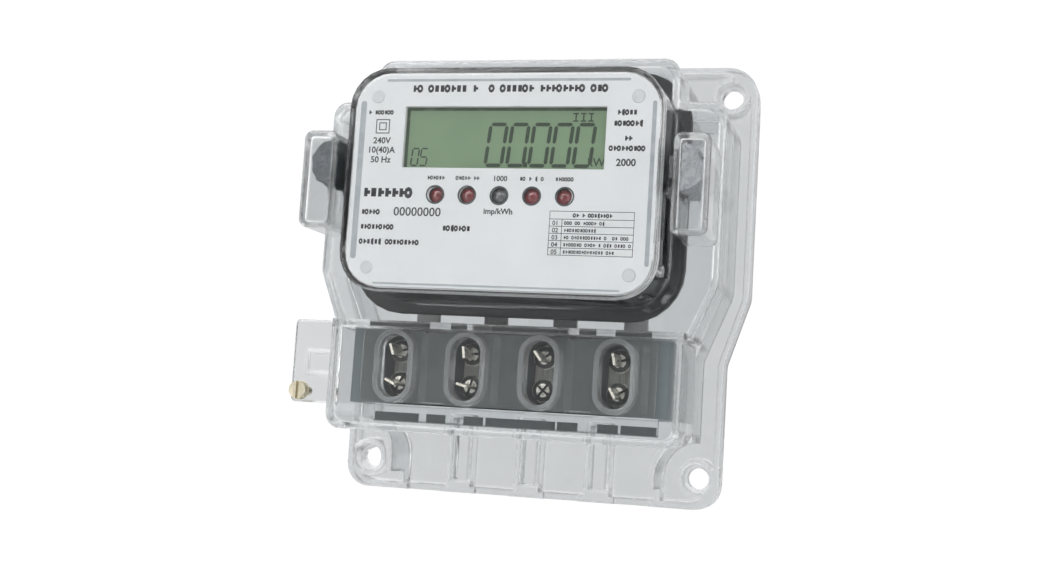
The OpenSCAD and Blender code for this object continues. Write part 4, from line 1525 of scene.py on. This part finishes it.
@dataclass
class Works:
    """The case behind the nameplate and everything in it."""

    def build(self) -> None:
        """Rounds and dresses each part of the works."""
        for node, (edge, finish, slot) in WORKS.items():
            settle(softened(node, node, edge), node + "_detailed", finish, slot, ROOT, [node])


# ---- Studio -------------------------------------------------------------------------


@dataclass
class Studio:
    """The camera, the light and the floor."""

    eye: tuple[float, float, float] = (0.1248, -0.4763, -0.0538)
    azimuth: float = 15.49
    elevation: float = -6.15
    roll: float = 3.62
    lens: float = 48.97
    sensor: float = 36.0
    floor_drop: float = 0.2
    floor_radius: float = 1.1
    glow: float = 3.0
    backdrop: float = 1.02
    ahead: tuple[float, float, float, float] = (0.12, 0.122, 0.125, 1.0)
    behind: tuple[float, float, float, float] = (0.25, 0.2525, 0.256, 1.0)
    behind_from: float = 0.915
    shades: tuple[tuple[float, float], ...] = ((0.045, 0.16), (0.1, 1.0), (0.3, 1.0), (0.42, 0.12),
                                               (0.5, 0.06), (0.64, 0.04), (0.78, 0.09), (0.86, 0.18))
    lights: tuple[tuple[str, Corner, float, float], ...] = (("soft_box", (-0.5, -0.7, 0.7), 0.7, 3.0),
                                                           ("strip", (0.75, -0.15, 0.25), 0.4, 1.0))

    def build(self) -> None:
        """Sets up everything round the meter."""
        self.camera()
        self.world()
        self.lamps()
        self.floor()
        bpy.context.scene.view_settings.view_transform = "Standard"
        cycles = bpy.context.scene.cycles
        cycles.use_denoising = True
        cycles.max_bounces = 24
        cycles.transmission_bounces = 20
        cycles.glossy_bounces = 8
        cycles.caustics_refractive = True

    def camera(self) -> None:
        """Points the camera up at the meter from its lower right."""
        a, e, roll = (math.radians(v) for v in (self.azimuth, self.elevation, self.roll))
        back = Vector((math.sin(a) * math.cos(e), -math.cos(a) * math.cos(e), math.sin(e)))
        right = (-back).cross(Vector((0, 0, 1))).normalized()
        up = right.cross(-back)
        across = right * math.cos(roll) + up * math.sin(roll)
        upright = up * math.cos(roll) - right * math.sin(roll)
        data = bpy.data.cameras.new("camera")
        data.lens = self.lens
        data.sensor_width = self.sensor
        data.clip_start = 0.01
        camera = bpy.data.objects.new("camera", data)
        turn = Matrix((across, upright, back)).transposed().to_4x4()
        camera.matrix_world = Matrix.Translation(self.eye) @ turn
        bpy.context.scene.collection.objects.link(camera)
        bpy.context.scene.camera = camera

    def world(self) -> None:
        """Lights the meter from a band round the front, dim at the sides and grey behind.

        The camera itself sees a plain white backdrop.
        """
        world = bpy.data.worlds.new("surround")
        world.use_nodes = True
        tree = world.node_tree
        place = tree.nodes.new("ShaderNodeTexCoord")
        split = tree.nodes.new("ShaderNodeSeparateXYZ")
        span = tree.nodes.new("ShaderNodeMapRange")
        span.inputs["From Min"].default_value = -1.0
        ramp = tree.nodes.new("ShaderNodeValToRGB")
        ramp.color_ramp.interpolation = "EASE"
        ramp.color_ramp.elements[0].position = 0.0
        ramp.color_ramp.elements[1].position = self.behind_from
        ramp.color_ramp.elements[0].color = self.ahead
        ramp.color_ramp.elements[1].color = self.behind
        for position, shade in self.shades:
            ramp.color_ramp.elements.new(position).color = (shade, shade, shade, 1.0)
        tree.links.new(place.outputs["Generated"], split.inputs["Vector"])
        tree.links.new(split.outputs["Y"], span.inputs["Value"])
        tree.links.new(span.outputs["Result"], ramp.inputs["Fac"])
        around = tree.nodes["Background"]
        around.inputs["Strength"].default_value = self.glow
        tree.links.new(ramp.outputs["Color"], around.inputs["Color"])
        backdrop = tree.nodes.new("ShaderNodeBackground")
        backdrop.inputs["Color"].default_value = (1.0, 1.0, 1.0, 1.0)
        backdrop.inputs["Strength"].default_value = self.backdrop
        seen = tree.nodes.new("ShaderNodeLightPath")
        either = tree.nodes.new("ShaderNodeMixShader")
        tree.links.new(seen.outputs["Is Camera Ray"], either.inputs["Fac"])
        tree.links.new(around.outputs["Background"], either.inputs[1])
        tree.links.new(backdrop.outputs["Background"], either.inputs[2])
        tree.links.new(either.outputs["Shader"], tree.nodes["World Output"].inputs["Surface"])
        bpy.context.scene.world = world

    def lamps(self) -> None:
        """Hangs a large soft box above the front left and a strip at the right."""
        for name, spot, size, power in self.lights:
            data = bpy.data.lights.new(name, "AREA")
            data.size = size
            data.energy = power
            lamp = bpy.data.objects.new(name, data)
            aim = Vector(spot).to_track_quat("Z", "Y").to_matrix().to_4x4()
            lamp.matrix_world = Matrix.Translation(spot) @ aim
            bpy.context.scene.collection.objects.link(lamp)

    def floor(self) -> None:
        """Lays a pale floor below the meter."""
        lowest = CAD_BOX[0][2]
        bm = bmesh.new()
        bmesh.ops.create_circle(bm, cap_ends=True, segments=64, radius=self.floor_radius)
        bm.transform(Matrix.Translation((0, 0, lowest - self.floor_drop)))
        mesh = bpy.data.meshes.new("floor")
        bm.to_mesh(mesh)
        bm.free()
        floor = mesh_object("floor", mesh)
        pale = Finish("pale_floor", (0.86, 0.86, 0.87), (0.83, 0.83, 0.84), (0.6, 0.8), scale=30, relief=0.02)
        floor.data.materials.append(pale.material())


def main() -> None:
    """Builds the meter's looks."""
    logging.basicConfig(level=logging.INFO, format="%(message)s")
    for part in (Studio(), Casing(), Works(), Nameplate(), Display(), Lamps(), Terminals(), ShieldDetails(), Seals()):
        LOG.info("building %s", type(part).__name__)
        part.build()


if __name__ == "__main__":
    main()
